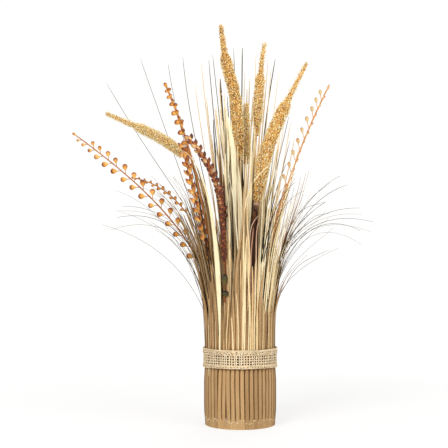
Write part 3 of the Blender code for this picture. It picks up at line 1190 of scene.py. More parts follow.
def grow_blade(
    skin: Skin,
    line: Line,
    width: float,
    depth: float,
    tone: float,
    finish: int = 0,
    twist: float = 0.6,
    across: Triple | np.ndarray | None = None,
    least: float = 0.1,
    fade: float = 0.8,
    swell: float = 0.0,
    outline: Outline = Outline.BLADE,
    rings: int = 20,
) -> None:
    """Add a blade that narrows to its tip.

    Args:
        skin: Piece that it joins.
        line: Its centre line.
        width: Its full width where it is widest.
        depth: Its full depth there.
        tone: Its own shade.
        finish: Place of its finish among the piece's.
        twist: Turn about its own line, in radians.
        across: First sideways direction, or None for square to its lean.
        least: Width at the tip against the full width.
        fade: Power of its narrowing; below 1 it stays wide for longer.
        swell: How much narrower its root is.
        outline: Its cross-section.
        rings: Rings above the tie.
    """
    foot = line.line[0]
    on_floor = foot[2] < 1.0
    low = [0.0, SPREAD_START / 2] if on_floor else [0.0]
    first = SPREAD_START if on_floor else 8.0
    places = np.concatenate([low, np.linspace(first, line.length, rings)])
    gone = np.clip((places - first) / (line.length - first), 0.0, 1.0)
    share = least + (1 - least) * (1 - gone) ** fade
    share *= 1 - swell * (1 - ease(gone / 0.35))
    share[-1] *= 0.5
    lean = line.line[-1] - np.array([*foot[:2], 0.0])
    side = np.cross(UP, lean) if across is None else np.array(across)
    sections = outline.ring(width * share, depth * np.maximum(share, 0.4))
    cover = np.full(len(places), -0.55)
    skin.add_strand(line.at(places), sections, unit(side), tone, finish, twist, cover)


def foot_straw(
    skin: Skin,
    azimuth: float,
    width: float,
    tip: tuple[float, Triple, Triple],
    tone: float,
    finish: int = 0,
) -> None:
    """Add a flat straw of the ring, fused to its neighbours in the strip at the floor.

    Args:
        skin: Piece that it joins.
        azimuth: Its place in the ring, in degrees.
        width: Its full width below the band.
        tip: Its rise, handle and tip.
        tone: Its own shade.
        finish: Place of its finish among the piece's.
    """
    rise, handle, end = tip
    depth = STRAW_DEPTH
    route = Route(polar(azimuth, FOOT_RADIUS - depth / 2), rise, handle, end)
    places = np.concatenate([STRAW_LEVELS, np.linspace(SPREAD_START + 6, route.length, 17)])
    centres = route.at(places)
    radial = np.array(polar(azimuth, 1.0, 0.0))
    across = np.array([radial[1], -radial[0], 0.0])
    setback = foot_radius(np.minimum(centres[:, 2], SPREAD_START)) - FOOT_RADIUS
    wave = 0.5 * np.sin(places / 21.0 + azimuth * 1.7) * ease(places / 20.0)
    centres = centres + radial * setback[:, None] + across * wave[:, None]
    above = ease((places - 150.0) / 90.0)
    left = np.clip((route.length - places) / (route.length - 190.0), 0.0, 1.0)
    fused = 1 - ease((places - FUSED_HEIGHT) / 8.0)
    widths = np.where(places < 112.0, width, 7.0 - 2.2 * above) * np.maximum(0.12, left**0.6)
    widths = widths + (FUSED_WIDTH - width) * fused
    depths = depth * np.where(places < 116.0, 1.0, 1 - 0.5 * above) * np.maximum(0.3, left)
    rings = Outline.STRAW.ring(widths, depths)
    flat = np.where(rings[..., 1] > 0, depths[:, None] / 2 * 0.96, rings[..., 1])
    rings[..., 1] += (flat - rings[..., 1]) * (0.9 * fused)[:, None]
    # Painted shade over the whole straw under the band, and less painted side shade on the fused strip
    band_shade = ease((places - SHADED[0]) / 4.0) * (1 - ease((places - SHADED[1]) / 4.0))
    skin.add_strand(centres, rings, across, tone, finish, cover=band_shade - 0.85 * fused)


@dataclass(frozen=True)
class Reach:
    """How a clump spreads in its upright plane: its rise, its handle and its farthest tip."""

    straws: int
    first: int
    rise: float
    handle: Pair
    tip: Pair

    @property
    def azimuth(self) -> float:
        """Direction of the clump's plane, in degrees."""
        return (self.first + self.straws / 2) * STRAW_ANGLE


class Kind(Enum):
    """The finishes of the straws and blades, in their order on a skin."""

    STRAW = 0
    DARK = 1
    GLUE = 2
    WEATHERED = 3
    PLUM = 4
    CREAM = 5


KIND_FINISHES = (STRAW, DARK_BLADE, GLUE, WEATHERED, PLUM, CREAM)

# Height at which a leaf or a twig that stands in the ring grows out of its straw
RING_STEM_START = 100.0


def stem_places(in_ring: bool, length: float, rings: int) -> np.ndarray:
    """Distances of a stem's cross-sections from its foot, with so many rings above the tie."""
    start = RING_STEM_START if in_ring else 0.0
    return np.concatenate([[start], [start + 15.0], np.linspace(SPREAD_START, length, rings)])


def ring_straw_below(skin: Skin, foot: Pair, reaches: Pair, tone: float, finish: int) -> None:
    """Add the flat straw of the ring that a leaf or a twig grows from.

    Args:
        skin: Piece that it joins.
        foot: Foot of the leaf or twig.
        reaches: How far from the middle its handle and its tip are.
        tone: Its own shade.
        finish: Place of its finish among the piece's.
    """
    azimuth = math.degrees(math.atan2(foot[1], foot[0])) - RING_TURN
    tip = (14.0, polar(azimuth, reaches[0], 160.0), polar(azimuth, reaches[1], 200.0))
    foot_straw(skin, azimuth, 6.5, tip, tone, finish)


# A laid strand whose first stop is higher than this rises from behind the ring's straws
LAID_BEHIND_FROM = 180.0


@dataclass(frozen=True)
class Laid:
    """A strand laid over the front: where it leaves the tie, and its stops from there."""

    azimuth: float
    width: float
    tone: float
    kind: Kind
    stops: tuple[Triple, ...]
    low: float = 96.0
    least: float = 0.35
    swell: float = 0.3
    twist: float = 0.0

    def grow(self, skin: Skin) -> None:
        """Add the strand to a clump's skin: before the ring's straws, or rising from behind them."""
        if self.stops[0][2] < LAID_BEHIND_FROM:
            root = (polar(self.azimuth, 53.2, self.low), polar(self.azimuth, 53.3, 121.0))
            swell = self.swell
        else:
            root = (polar(self.azimuth, 49.0, 130.0), polar(self.azimuth, 50.5, 150.0))
            swell = max(self.swell, 0.92)
        line = Way((*root, *self.stops))
        side = polar(self.azimuth - 90.0, 1.0, 0.0)
        kind = self.kind.value
        grow_blade(skin, line, self.width, 0.9, self.tone, kind, self.twist, side, self.least, 0.6, swell)


LAID = (
    # Pale straws just above the band, from the left to the right
    Laid(209.4, 2.5, 1.0, Kind.STRAW, ((-46.5, -29.5, 150), (-46, -31, 176)), 74.0),
    Laid(226.5, 1.6, 0.95, Kind.STRAW, ((-37, -40.5, 140), (-36.5, -41, 156))),
    Laid(258.0, 2.7, 1.0, Kind.STRAW, ((-12, -54, 142), (-13.5, -55, 163))),
    Laid(266.2, 2.0, 1.0, Kind.STRAW, ((-4, -55, 160), (-6.5, -57, 208))),
    Laid(273.3, 4.6, 1.0, Kind.STRAW, ((4.5, -56, 170), (6, -58, 215), (9, -61, 280)), swell=0.7),
    Laid(282.5, 2.2, 1.0, Kind.STRAW, ((12.5, -55, 170), (11, -58, 250))),
    Laid(297.5, 2.0, 0.95, Kind.STRAW, ((24.5, -49, 170), (23, -55, 250))),
    Laid(307.3, 1.7, 0.95, Kind.STRAW, ((33, -44, 150), (32, -46, 190))),
    Laid(320.7, 2.0, 0.9, Kind.STRAW, ((41.5, -35, 170), (41, -41, 250))),
    Laid(247.5, 2.4, 0.86, Kind.STRAW, ((-20, -52, 142), (-16.5, -54.5, 190)), swell=0.5),
    Laid(328.5, 1.7, 0.85, Kind.STRAW, ((45.5, -29, 150), (45, -31, 192))),
    Laid(336.7, 3.0, 0.75, Kind.WEATHERED, ((49, -22, 140), (49.5, -23, 170))),
    Laid(190.0, 3.6, 0.85, Kind.WEATHERED, ((-53.5, -9.5, 140), (-55.5, -10, 172))),
    # Dark strands of painted shade, standing for the shaded slits between the straws
    Laid(248.6, 1.3, 0.1, Kind.STRAW, ((-18, -52.5, 150), (-16, -54, 186)), swell=0.8),
    Laid(283.8, 1.3, 0.05, Kind.STRAW, ((13, -54.5, 170), (12.5, -57, 226)), swell=0.9),
    Laid(293.6, 1.3, 0.15, Kind.STRAW, ((21.5, -50.5, 150), (21, -52, 194)), swell=0.6),
    Laid(316.6, 1.7, 0.15, Kind.DARK, ((39.5, -38, 150), (39.5, -41, 214)), swell=0.7),
    Laid(204.4, 1.5, 0.1, Kind.STRAW, ((-49, -23, 150), (-51, -24, 190))),
    Laid(223.6, 1.5, 0.1, Kind.STRAW, ((-39.5, -38, 150), (-43, -40, 214)), swell=0.6),
    Laid(253.0, 1.2, 0.15, Kind.STRAW, ((-16, -54, 200), (-17, -58, 246)), swell=0.8),
    Laid(239.6, 1.2, 0.15, Kind.STRAW, ((-26.5, -48, 135), (-25, -50, 154))),
    # Pale straws that fan out to the right
    Laid(300.5, 3.2, 0.7, Kind.CREAM, ((27, -48, 200), (30, -50, 280), (33, -50, 342))),
    Laid(302.0, 2.8, 1.0, Kind.STRAW, ((29, -47, 200), (33, -49, 270), (38, -50, 322))),
    Laid(303.0, 3.0, 0.6, Kind.CREAM, ((30, -47, 200), (36, -48, 280), (44, -48, 372))),
    Laid(305.0, 2.8, 0.7, Kind.CREAM, ((33, -46, 210), (41, -47, 300), (53, -47, 386))),
    Laid(306.5, 1.6, 0.2, Kind.DARK, ((34, -45, 205), (41, -47, 275), (50, -47, 330))),
    Laid(309.0, 2.8, 1.0, Kind.STRAW, ((36, -43, 200), (45, -45, 270), (59, -47, 360))),
    Laid(311.5, 3.2, 0.5, Kind.CREAM, ((38, -42, 190), (43, -44, 260), (51, -45, 330))),
    Laid(313.0, 3.0, 1.0, Kind.STRAW, ((39, -41, 200), (47, -43, 262), (62, -45, 336))),
    Laid(315.0, 3.0, 0.7, Kind.CREAM, ((41, -39, 200), (52, -41, 270), (71, -43, 352))),
    Laid(318.0, 3.2, 0.9, Kind.STRAW, ((43.5, -37, 190), (49, -39, 240), (60, -41, 304))),
    Laid(320.0, 3.0, 0.6, Kind.CREAM, ((45, -36, 195), (54, -38, 255), (74, -41, 330))),
    Laid(322.0, 2.6, 1.0, Kind.STRAW, ((46, -34, 195), (57, -36, 260), (83, -39, 345))),
    Laid(325.0, 2.8, 0.8, Kind.STRAW, ((47, -31, 190), (55, -33, 240), (70, -35, 300))),
    Laid(331.0, 2.6, 0.6, Kind.CREAM, ((49, -27, 190), (60, -28, 250), (90, -31, 326))),
    Laid(340.0, 2.6, 0.9, Kind.STRAW, ((51.5, -18, 190), (62, -20, 245), (86, -22, 302))),
    # Dark arcs at the two sides
    Laid(
        338.0, 2.2, 0.0, Kind.DARK,
        ((52, -20, 190), (58, -21, 243), (74, -21, 293), (104, -21, 335), (133, -21, 359)), least=0.5,
    ),
    Laid(
        340.0, 2.0, 0.0, Kind.DARK,
        ((52, -18, 190), (61, -19, 261), (89, -19, 316), (126, -19, 331)), least=0.5,
    ),
    Laid(
        343.0, 2.0, 0.1, Kind.DARK,
        ((53, -16, 190), (66, -17, 261), (89, -17, 290), (111, -17, 310), (133, -17, 314)), least=0.5,
    ),
    Laid(
        347.0, 1.9, 0.0, Kind.DARK,
        ((57, -13, 185), (65, -14, 203), (89, -15, 238), (133, -16, 260)), least=0.5,
    ),
    Laid(
        199.0, 2.1, 0.0, Kind.DARK,
        ((-57, -20, 186), (-75, -20, 243), (-97, -20, 276), (-134, -20, 302)), least=0.5,
    ),
    # Straws over the middle, and the plum strands between them
    Laid(
        285.5, 3.4, 0.95, Kind.STRAW,
        ((14, -52, 150), (12.5, -56, 190), (10.5, -58, 240), (11, -58, 286)),
    ),
    Laid(288.5, 3.0, 0.8, Kind.STRAW, ((17, -51, 150), (17.5, -55, 190), (17, -56, 236))),
    Laid(291.5, 2.8, 1.0, Kind.STRAW, ((20, -50, 150), (21, -54, 190), (22, -56, 244))),
    Laid(295.5, 2.8, 0.85, Kind.STRAW, ((23, -49, 150), (25, -50, 190), (27, -52, 268))),
    Laid(276.0, 3.0, 1.0, Kind.STRAW, ((6, -54, 150), (6, -58, 200), (4, -60, 262), (5, -60, 318))),
    Laid(
        287.5, 7.0, 0.5, Kind.PLUM,
        ((17, -47, 200), (18, -48, 262), (21, -47, 316)), least=0.8, swell=0.2,
    ),
    Laid(
        284.0, 2.6, 0.0, Kind.PLUM,
        ((13, -50, 205), (14.3, -53, 270), (15.5, -54, 300), (18.4, -54, 331)), least=0.8,
    ),
    Laid(
        287.0, 4.0, 0.0, Kind.PLUM,
        ((16, -50, 205), (19.3, -54, 258), (20.7, -54, 280), (22.4, -54, 308)), least=0.3,
    ),
    Laid(
        292.5, 2.4, 0.0, Kind.PLUM,
        ((22, -50, 205), (24.3, -54, 250), (24.4, -54, 280), (25.8, -54, 300)), least=0.4,
    ),
    Laid(
        299.5, 1.9, 0.0, Kind.DARK,
        ((30, -46, 205), (34, -49, 275), (36, -50, 300), (36, -50, 333)), least=0.8,
    ),
    Laid(
        289.5, 2.0, 0.9, Kind.PLUM,
        ((20, -51, 205), (22.4, -55.5, 250), (23, -56, 284), (27, -56, 303)), least=0.6,
    ),
    Laid(
        285.5, 3.0, 0.85, Kind.PLUM,
        ((14, -51, 205), (15.5, -54.5, 258), (17.4, -55.5, 280), (18.6, -55, 292)), least=0.3,
    ),
    Laid(
        283.0, 1.3, 1.0, Kind.PLUM,
        ((12, -54, 225), (13.5, -57, 280), (17, -58, 297), (25.5, -58, 309)), least=0.7,
    ),
    # Blades and straws that frame the pale leaf
    Laid(
        256.0, 1.8, 0.5, Kind.DARK,
        ((-13, -57, 190), (-12, -60, 243), (-13, -61, 288), (-17, -60, 333), (-15, -57, 368)),
    ),
    Laid(262.0, 3.4, 0.42, Kind.STRAW, ((-7, -57, 200), (-5, -60, 243), (2, -61, 290), (5, -60, 352))),
    Laid(
        272.0, 2.2, 0.2, Kind.CREAM,
        ((4, -57, 243), (6, -61, 317), (11, -63, 341), (19, -66, 359), (45, -70, 386)), least=0.6,
    ),
    Laid(277.0, 1.7, 0.2, Kind.STRAW, ((9, -59, 243), (6, -61, 297), (8, -61, 333), (11, -60, 372))),
    Laid(280.0, 2.6, 0.9, Kind.STRAW, ((13, -58, 243), (9.5, -60, 297), (9.5, -60, 340), (11, -58, 374))),
    Laid(268.0, 4.2, 0.1, Kind.DARK, ((3, -52, 250), (5, -50, 333), (2, -49, 380)), swell=0.5),
    Laid(274.5, 2.2, 0.3, Kind.CREAM, ((5.5, -54, 250), (6, -56, 330), (8.5, -50, 396)), least=0.6),
    Laid(
        252.0, 3.6, 0.2, Kind.CREAM,
        ((-16, -56, 240), (-17, -57, 322), (-21, -57, 350), (-25, -56, 392)), swell=0.4,
    ),
    Laid(258.5, 1.6, 0.1, Kind.DARK, ((-14, -52, 240), (-17, -50, 340), (-16, -46, 396))),
    Laid(
        246.0, 5.0, 0.2, Kind.WEATHERED,
        ((-26, -54, 240), (-28, -57, 300), (-30, -57, 352), (-31, -56, 410)), least=0.1,
    ),
    Laid(
        222.0, 4.8, 0.3, Kind.STRAW,
        ((-41, -44, 215), (-46, -48, 290), (-54, -50, 338), (-62, -51, 366), (-72, -52, 394)),
    ),
    # Wide browner blades at the left
    Laid(
        206.0, 5.6, 0.55, Kind.WEATHERED,
        ((-50, -27, 210), (-60, -31, 262), (-82, -34, 322)), least=0.3, twist=1.1,
    ),
    Laid(
        209.0, 4.6, 0.7, Kind.WEATHERED,
        ((-49, -30, 205), (-58, -33, 262), (-76, -35, 338)), least=0.3, twist=1.1,
    ),
    Laid(
        213.0, 4.6, 0.35, Kind.WEATHERED,
        ((-47, -33, 215), (-57, -36, 280), (-70, -38, 336)), least=0.3, twist=1.0,
    ),
    Laid(
        203.0, 4.6, 0.4, Kind.WEATHERED,
        ((-52, -22, 205), (-61, -26, 255), (-84, -30, 312)), least=0.3, twist=1.2,
    ),
    Laid(
        200.0, 5.0, 0.75, Kind.WEATHERED,
        ((-53, -19, 200), (-64, -23, 250), (-92, -28, 316)), least=0.2, twist=1.2,
    ),
    Laid(211.0, 1.8, 0.1, Kind.DARK, ((-49, -31, 205), (-60, -35, 268), (-82, -38, 335)), least=0.6),
    Laid(196.0, 1.8, 0.2, Kind.DARK, ((-53, -15, 195), (-62, -18, 240), (-88, -24, 292)), least=0.6),
    Laid(
        218.0, 6.0, 0.2, Kind.STRAW,
        ((-44, -36, 200), (-50, -24, 270), (-62, -26, 334)), least=0.2, twist=0.9,
    ),
    Laid(
        230.0, 4.4, 0.35, Kind.WEATHERED,
        ((-36, -44, 200), (-42, -40, 270), (-52, -42, 350)), least=0.2, twist=0.7,
    ),
)

# Shades of the straws behind the ring, and how often each comes at the left and elsewhere
BEHIND_SHADES = (0.08, 0.4, 0.6, 0.85, 1.0)
LEFT_ODDS = (0.25, 0.3, 0.25, 0.1, 0.1)
OTHER_ODDS = (0.1, 0.1, 0.15, 0.3, 0.35)

# After this clump a twig and a leaf stand in the ring, in the places of two straws
CLUMP_BEFORE_GAP = 8
STRAWS_IN_GAP = 2

CLUMPS = (
    Reach(4, 0, 126, (116, 298), (150, 294)),
    Reach(4, 4, 110, (80, 350), (128, 384)),
    Reach(4, 8, 120, (66, 360), (100, 452)),
    Reach(4, 12, 120, (68, 350), (104, 424)),
    Reach(4, 16, 110, (82, 340), (136, 372)),
    Reach(4, 20, 70, (78, 326), (200, 322)),
    Reach(4, 24, 44, (88, 317), (208, 296)),
    Reach(3, 28, 80, (84, 300), (108, 338)),
    Reach(3, 33, 120, (62, 320), (78, 408)),
    Reach(4, 36, 120, (62, 310), (74, 392)),
    Reach(4, 40, 100, (74, 310), (102, 350)),
    Reach(4, 44, 94, (82, 258), (150, 263)),
)


@dataclass
class StrawClump:
    """A part of the ring: wide straws, others behind them, and the blades they end in.

    The ring's own straws are straw_width wide. They end at front_top at the very front, side_rise
    higher at the sides, and at low_top where other strands stand before them.
    """

    seed: ClassVar[int] = 40

    number: int
    reach: Reach
    behind: int = 20
    blades: int = 3
    beads: int = 8
    straw_width: float = 6.75
    front_top: float = 284.0
    side_rise: float = 80.0
    low_top: float = 242.0
    tie_radius: float = 51.0
    behind_reach: Pair = (44.5, 49.0)
    behind_width: Pair = (1.6, 4.6)
    blade_reach: Pair = (44.0, 47.5)
    blade_width: Pair = (2.3, 3.0)

    def __post_init__(self) -> None:
        """Set the clump's own random numbers."""
        self.chance = np.random.default_rng(self.seed + self.number)

    def owns(self, azimuth: float) -> bool:
        """Whether this direction lies within the clump, or in the gap after it."""
        gap = STRAWS_IN_GAP if self.number == CLUMP_BEFORE_GAP else 0
        return 0 <= azimuth / STRAW_ANGLE - self.reach.first < self.reach.straws + gap

    def spread(self, azimuth: float, share: float, top: float) -> tuple[float, Triple, Triple]:
        """Rise, handle and tip of a straw that follows the clump's spread.

        Args:
            azimuth: Its direction.
            share: How far it reaches towards the clump's farthest tip.
            top: Height of its tip.

        Returns:
            Its rise, handle and tip.
        """
        reach = self.reach
        out = self.tie_radius + (reach.tip[0] - self.tie_radius) * share
        mid = self.tie_radius + (reach.handle[0] - self.tie_radius) * share
        handle = polar(azimuth, mid, min(reach.handle[1], top - 30.0))
        return min(reach.rise, top - 180.0), handle, polar(azimuth, out, top)

    def build_front(self, skin: Skin) -> None:
        """The wide straws of the ring; those at the very front are the shortest."""
        for index in range(self.reach.straws):
            azimuth = (self.reach.first + index + 0.5) * STRAW_ANGLE - RING_TURN
            aside = abs(azimuth - FRONT)
            top = self.front_top + self.side_rise * ease(aside / 75.0) + self.chance.uniform(-14.0, 14.0)
            if within(azimuth, SPRAY_SIDE) or within(azimuth, FAN_SIDE):
                top = self.low_top + self.chance.uniform(-12.0, 12.0)
            tone = self.chance.uniform(0.34, 0.56)
            width = self.straw_width - 0.35 * ease((azimuth - 230.0) / 50.0)
            width -= self.chance.uniform(0.0, 0.25)
            # The ring's straws at the two sides, seen from the front, get the greyer finish
            weathered = aside < 95.0 and not within(azimuth, FRESH_SIDE)
            kind = Kind.WEATHERED if weathered else Kind.STRAW
            share = self.chance.uniform(0.3, 0.6) * (0.5 if top < self.low_top + 18.0 else 1.0)
            lean = azimuth + (azimuth - FRONT) * 0.06 + self.chance.uniform(-3.0, 3.0)
            foot_straw(skin, azimuth, width, self.spread(lean, share, top), tone, kind.value)

    def build_behind(self, skin: Skin) -> None:
        """Straws of many shades that fill the gaps behind the ring and show above it."""
        arc = self.reach.straws * STRAW_ANGLE
        start = self.reach.first * STRAW_ANGLE
        front = within(self.reach.azimuth, (205.0, 305.0))
        left = within(self.reach.azimuth, (170.0, 235.0))
        odds = LEFT_ODDS if left else OTHER_ODDS
        for index in range(self.behind):
            azimuth = start + arc * (index + 0.5) / self.behind + self.chance.uniform(-1, 1)
            foot = polar(azimuth, self.chance.uniform(*self.behind_reach))
            top = self.chance.uniform(230.0, 275.0) if front else self.chance.uniform(240.0, 350.0)
            if within(azimuth, FAN_SIDE):
                top = self.chance.uniform(222.0, 240.0 if azimuth < 298.0 else 285.0)
            share = self.chance.uniform(0.0, 0.3 if front else 0.7 * ease((top - 200.0) / 150.0))
            tip = self.spread(azimuth, share, top)
            tone = float(self.chance.choice(BEHIND_SHADES, p=odds))
            kind = Kind.WEATHERED if self.chance.random() < (0.5 if left else 0.15) else Kind.STRAW
            width = self.chance.uniform(*self.behind_width)
            twist = self.chance.uniform(-0.3, 0.3)
            side = polar(azimuth - 90.0, 1.0, 0.0)
            grow_blade(skin, Route(foot, *tip), width, 1.1, tone, kind.value, twist, side, 0.2, 0.6)

    def build_blades(self, skin: Skin) -> None:
        """Fine dark blades, the farthest of which reaches the clump's tip."""
        front = within(self.reach.azimuth, (225.0, 315.0))
        for index in range(2 if front else self.blades):
            share = 1.0 if index == 0 else self.chance.uniform(0.5, 0.95)
            azimuth = self.reach.azimuth
            if index:
                azimuth += self.chance.uniform(-0.42, 0.42) * self.reach.straws * STRAW_ANGLE
            top = self.reach.tip[1] + (0.0 if index == 0 else self.chance.uniform(-12.0, 60.0))
            foot = polar(azimuth, self.chance.uniform(*self.blade_reach))
            route = Route(foot, *self.spread(azimuth, share, top))
            width = self.chance.uniform(*self.blade_width)
            tone = self.chance.uniform(0.0, 0.15)
            kind = Kind.STRAW if front and index else Kind.DARK
            twist = self.chance.uniform(-0.5, 0.5)
            grow_blade(skin, route, width, 0.8, tone, kind.value, twist, least=0.35, fade=0.7)

    def build_beads(self, skin: Skin) -> None:
        """Small beads of glue along the top of the fused strip."""
        start = self.reach.first * STRAW_ANGLE
        arc = self.reach.straws * STRAW_ANGLE
        places, axes, sizes, tones = [], [], [], []
        for index in range(self.beads):
            azimuth = start + (index + self.chance.uniform(0.1, 0.9)) / self.beads * arc
            height = self.chance.uniform(8.0, 13.5)
            places.append(polar(azimuth, float(foot_radius(np.array(height))) - 0.25, height))
            axes.append(polar(azimuth, 1.0, 0.15))
            size = self.chance.uniform(0.6, 1.1)
            sizes.append((size * self.chance.uniform(0.8, 1.4), size, 0.8))
            tones.append(self.chance.uniform(0.3, 1.0))
        skin.add_copies(
            BEAD, np.array(places), np.array(axes), np.array(sizes), np.array(tones), Kind.GLUE.value
        )

    def build(self, palette: Palette) -> None:
        """Build the clump in the place of its CAD node."""
        name = f"grass_clump_{self.number:02d}"
        skin = Skin(f"{name}_straws")
        self.build_front(skin)
        self.build_behind(skin)
        self.build_blades(skin)
        self.build_beads(skin)
        for strand in LAID:
            if self.owns(strand.azimuth):
                strand.grow(skin)
        skin.finish(palette.choose(*KIND_FINISHES), "straw", [name])


@dataclass(frozen=True)
class Neighbour:
    """A straw or blade that stands beside a tall blade, nearly straight."""

    tip: Triple
    width: float
    tone: float
    kind: Kind = Kind.STRAW
    bow: float = 0.0
    least: float = 0.5

    def grow(self, skin: Skin, foot: Pair) -> None:
        """Add it to the skin of the piece that it stands beside."""
        x, y, high = self.tip
        middle = (foot[0] + (x - foot[0]) * 0.6 + self.bow, foot[1] + (y - foot[1]) * 0.6, high * 0.66 + 20)
        route = Route(foot, (high - 120) * 0.3, middle, self.tip)
        kind = self.kind.value
        grow_blade(skin, route, self.width, 0.9, self.tone, kind, 0.2, RIGHT, self.least, 0.6)


@dataclass
class StrawTuft:
    """Inner straws that stand together in the middle of the sheaf."""

    seed: ClassVar[int] = 80

    number: int
    route: Route
    radius: float
    straws: int = 7
    spread: float = 1.6
    kind: Kind = Kind.CREAM
    shades: tuple[float, ...] = (0.1, 0.4, 0.7, 1.0)
    neighbours: tuple[Neighbour, ...] = ()

    def build(self, palette: Palette) -> None:
        """Build the tuft in the place of its CAD node."""
        chance = np.random.default_rng(self.seed + self.number)
        skin = Skin(f"straw_tuft_{self.number}_straws")
        for index in range(self.straws):
            turn = index * GOLDEN_ANGLE
            out = self.radius * math.sqrt((index + 0.5) / self.straws) * 0.85
            foot = (out * math.cos(turn), out * math.sin(turn))
            lift = 0.0 if index == 0 else chance.uniform(-90.0, 10.0)
            fan = (foot[0] * self.spread, foot[1] * 2.0, lift) if index else (0.0, 0.0, 0.0)
            route = self.route.moved(foot, (foot[0] * 1.5, foot[1] * 1.5, 0.0), fan)
            tone = float(chance.choice(self.shades))
            width = chance.uniform(2.2, 4.8)
            twist = chance.uniform(-0.4, 0.4)
            grow_blade(skin, route, width, 1.0, tone, self.kind.value, twist, RIGHT, 0.4, 0.6)
        for neighbour in self.neighbours:
            foot = (self.route.foot[0] + chance.uniform(-3, 3), self.route.foot[1] + chance.uniform(-3, 3))
            neighbour.grow(skin, foot)
        skin.finish(palette.choose(*KIND_FINISHES), "straw", [f"straw_tuft_{self.number}"])


@dataclass
class Foxtail:
    """A foxtail head: a core covered with clustered grains, and bristles that stand out of it.

    It is widest near the base, where it starts at base of its full radius, and has top_radius of it
    at the shoulder. Above that is the thin end, which takes the share thin of the length and is
    slender wide. Each lean is how far grains or bristles point out and up.
    """

    seed: ClassVar[int] = 120

    number: int
    route: Route
    length: float
    radius: float
    thin: float = 0.2
    top_radius: float = 0.85
    bristles: int = 1200
    bristle_length: float = 3.5
    sheath: bool = False
    base: float = 0.4
    slender: float = 0.4
    # light lifts or lowers a head's grain tones: on the fifth head it is painted light against the shade
    # that the first head casts; on the first it only lowers the tone
    light: float = 0.0
    grain_area: float = 3.0
    cluster: float = 2.5
    grain_lean: Pair = (0.85, 0.55)
    bristle_lean: Pair = (0.85, 0.7)
    bristle_width: float = 0.3
    stray_share: float = 0.14
    stalk: float = 2.6
    sheath_strands: int = 11

    def profile(self, share: np.ndarray) -> np.ndarray:
        """Radius against the greatest one: full from near the base up, then a shoulder and a thin end."""
        rising = self.base + (1 - self.base) * ease(share / 0.2)
        main = 1.0 + (self.top_radius - 1.0) * ease(share / (1 - self.thin))
        fall = ease((share - (1 - self.thin - 0.09)) / 0.09)
        thin = self.slender * (1.0 - 0.35 * ease((share - 1 + self.thin) / self.thin))
        rounded = np.sqrt(1.0 - np.clip((share - 0.97) / 0.031, 0.0, 1.0) ** 2)
        return rising * rounded * (main + (thin - main) * fall)

    def spots(self, count: int, chance: np.random.Generator) -> tuple[np.ndarray, ...]:
        """Places spread evenly over the head.

        Args:
            count: How many places.
            chance: Source of random numbers.

        Returns:
            Share along the head, centre, radial direction, forward direction, radius and
            the random tone of the cluster that each place belongs to.
        """
        grid = np.linspace(0.0, 1.0, 400)
        area = np.cumsum(self.profile(grid))
        share = np.interp((np.arange(count) + 0.5) / count * area[-1], area, grid)
        base = self.route.length - self.length
        centres = self.route.at(base + self.length * grid)
        side, out = carried_sides(centres, RIGHT)
        spots = [
            np.stack([np.interp(share, grid, axis) for axis in values.T], axis=-1)
            for values in (centres, side, out, np.cross(side, out))
        ]
        turn = np.arange(count) * GOLDEN_ANGLE + chance.uniform(-0.15, 0.15, count)
        radial = spots[1] * np.cos(turn)[:, None] + spots[2] * np.sin(turn)[:, None]
        lumps = chance.uniform(0.93, 1.07, 401)
        lump = (share * self.length / 6).astype(int) * 5 + (turn * 0.8).astype(int)
        radius = self.radius * self.profile(share) * lumps[lump % len(lumps)]
        row = np.floor(share * self.length / self.cluster)
        column = np.floor((turn % (2 * math.pi)) * radius / self.cluster + 0.5 * (row % 2))
        shades = chance.random(1009)
        shade = shades[(row * 61 + column * 7).astype(int) % len(shades)]
        return share, spots[0], radial, spots[3], radius, shade

    def build_core(self, skin: Skin) -> None:
        """The stalk and the core that the grains stand on."""
        base = self.route.length - self.length
        stem = np.array([0.0, SPREAD_START / 2, *np.linspace(SPREAD_START, base + 4, 12)])
        share = np.linspace(0.0, 1.0, 34)
        radii = self.radius * self.profile(share) * 0.8
        stalk = np.full(len(stem), self.stalk)
        skin.add_strand(self.route.at(stem), Outline.ROUND.ring(stalk, stalk), RIGHT, 0.75, 1)
        rings = Outline.ROUND.ring(2 * radii, 2 * radii)
        skin.add_strand(self.route.at(base + self.length * share), rings, RIGHT, 0.25, 0)

    def build_grains(self, skin: Skin, chance: np.random.Generator) -> None:
        """Grains all over the head in small clusters, each leaning up and out."""
        area = 2 * math.pi * self.radius * self.profile(np.linspace(0.0, 1.0, 200)).mean() * self.length
        count = int(area / self.grain_area)
        share, centre, radial, ahead, radius, shade = self.spots(count, chance)
        out, up = self.grain_lean
        axes = radial * out + ahead * up + chance.normal(0.0, 0.3, (count, 3))
        # A cluster's random tone also sets how deep it sits: dark clusters sink and pale ones rise, which
        # paints shade into the hollows of the head. Grains that stray outwards are made paler, a painted
        # highlight.
        places = centre + radial * (radius * 0.74 + 1.9 * (shade - 0.5))[:, None]
        long = chance.uniform(2.2, 3.6, count) * (1 - 0.2 * share)
        wide = chance.uniform(0.85, 1.35, count) * (1 - 0.15 * share)
        stray = chance.random(count) < self.stray_share
        places = places + radial * (1.7 * stray)[:, None]
        tones = 0.04 + 0.92 * shade + 0.2 * stray + self.light + chance.normal(0.0, 0.2, count)
        tones = np.clip(tones, 0.0, 1.0)
        skin.add_copies(GRAIN, places, axes, np.stack([wide, wide * 0.8, long], -1), tones, 0)

    def build_bristles(self, skin: Skin, chance: np.random.Generator) -> None:
        """Fine pale bristles between the grains."""
        share, centre, radial, ahead, radius, _ = self.spots(self.bristles, chance)
        out, up = self.bristle_lean
        axes = radial * out + ahead * up + chance.normal(0.0, 0.25, (self.bristles, 3))
        places = centre + radial * (radius * 0.85)[:, None]
        long = chance.uniform(0.6, 1.25, self.bristles) * self.bristle_length * (1 - 0.3 * share)
        wide = np.full(self.bristles, self.bristle_width)
        tones = chance.uniform(0.7, 1.0, self.bristles)
        skin.add_copies(BRISTLE, places, axes, np.stack([wide, wide, long], -1), tones, 0)

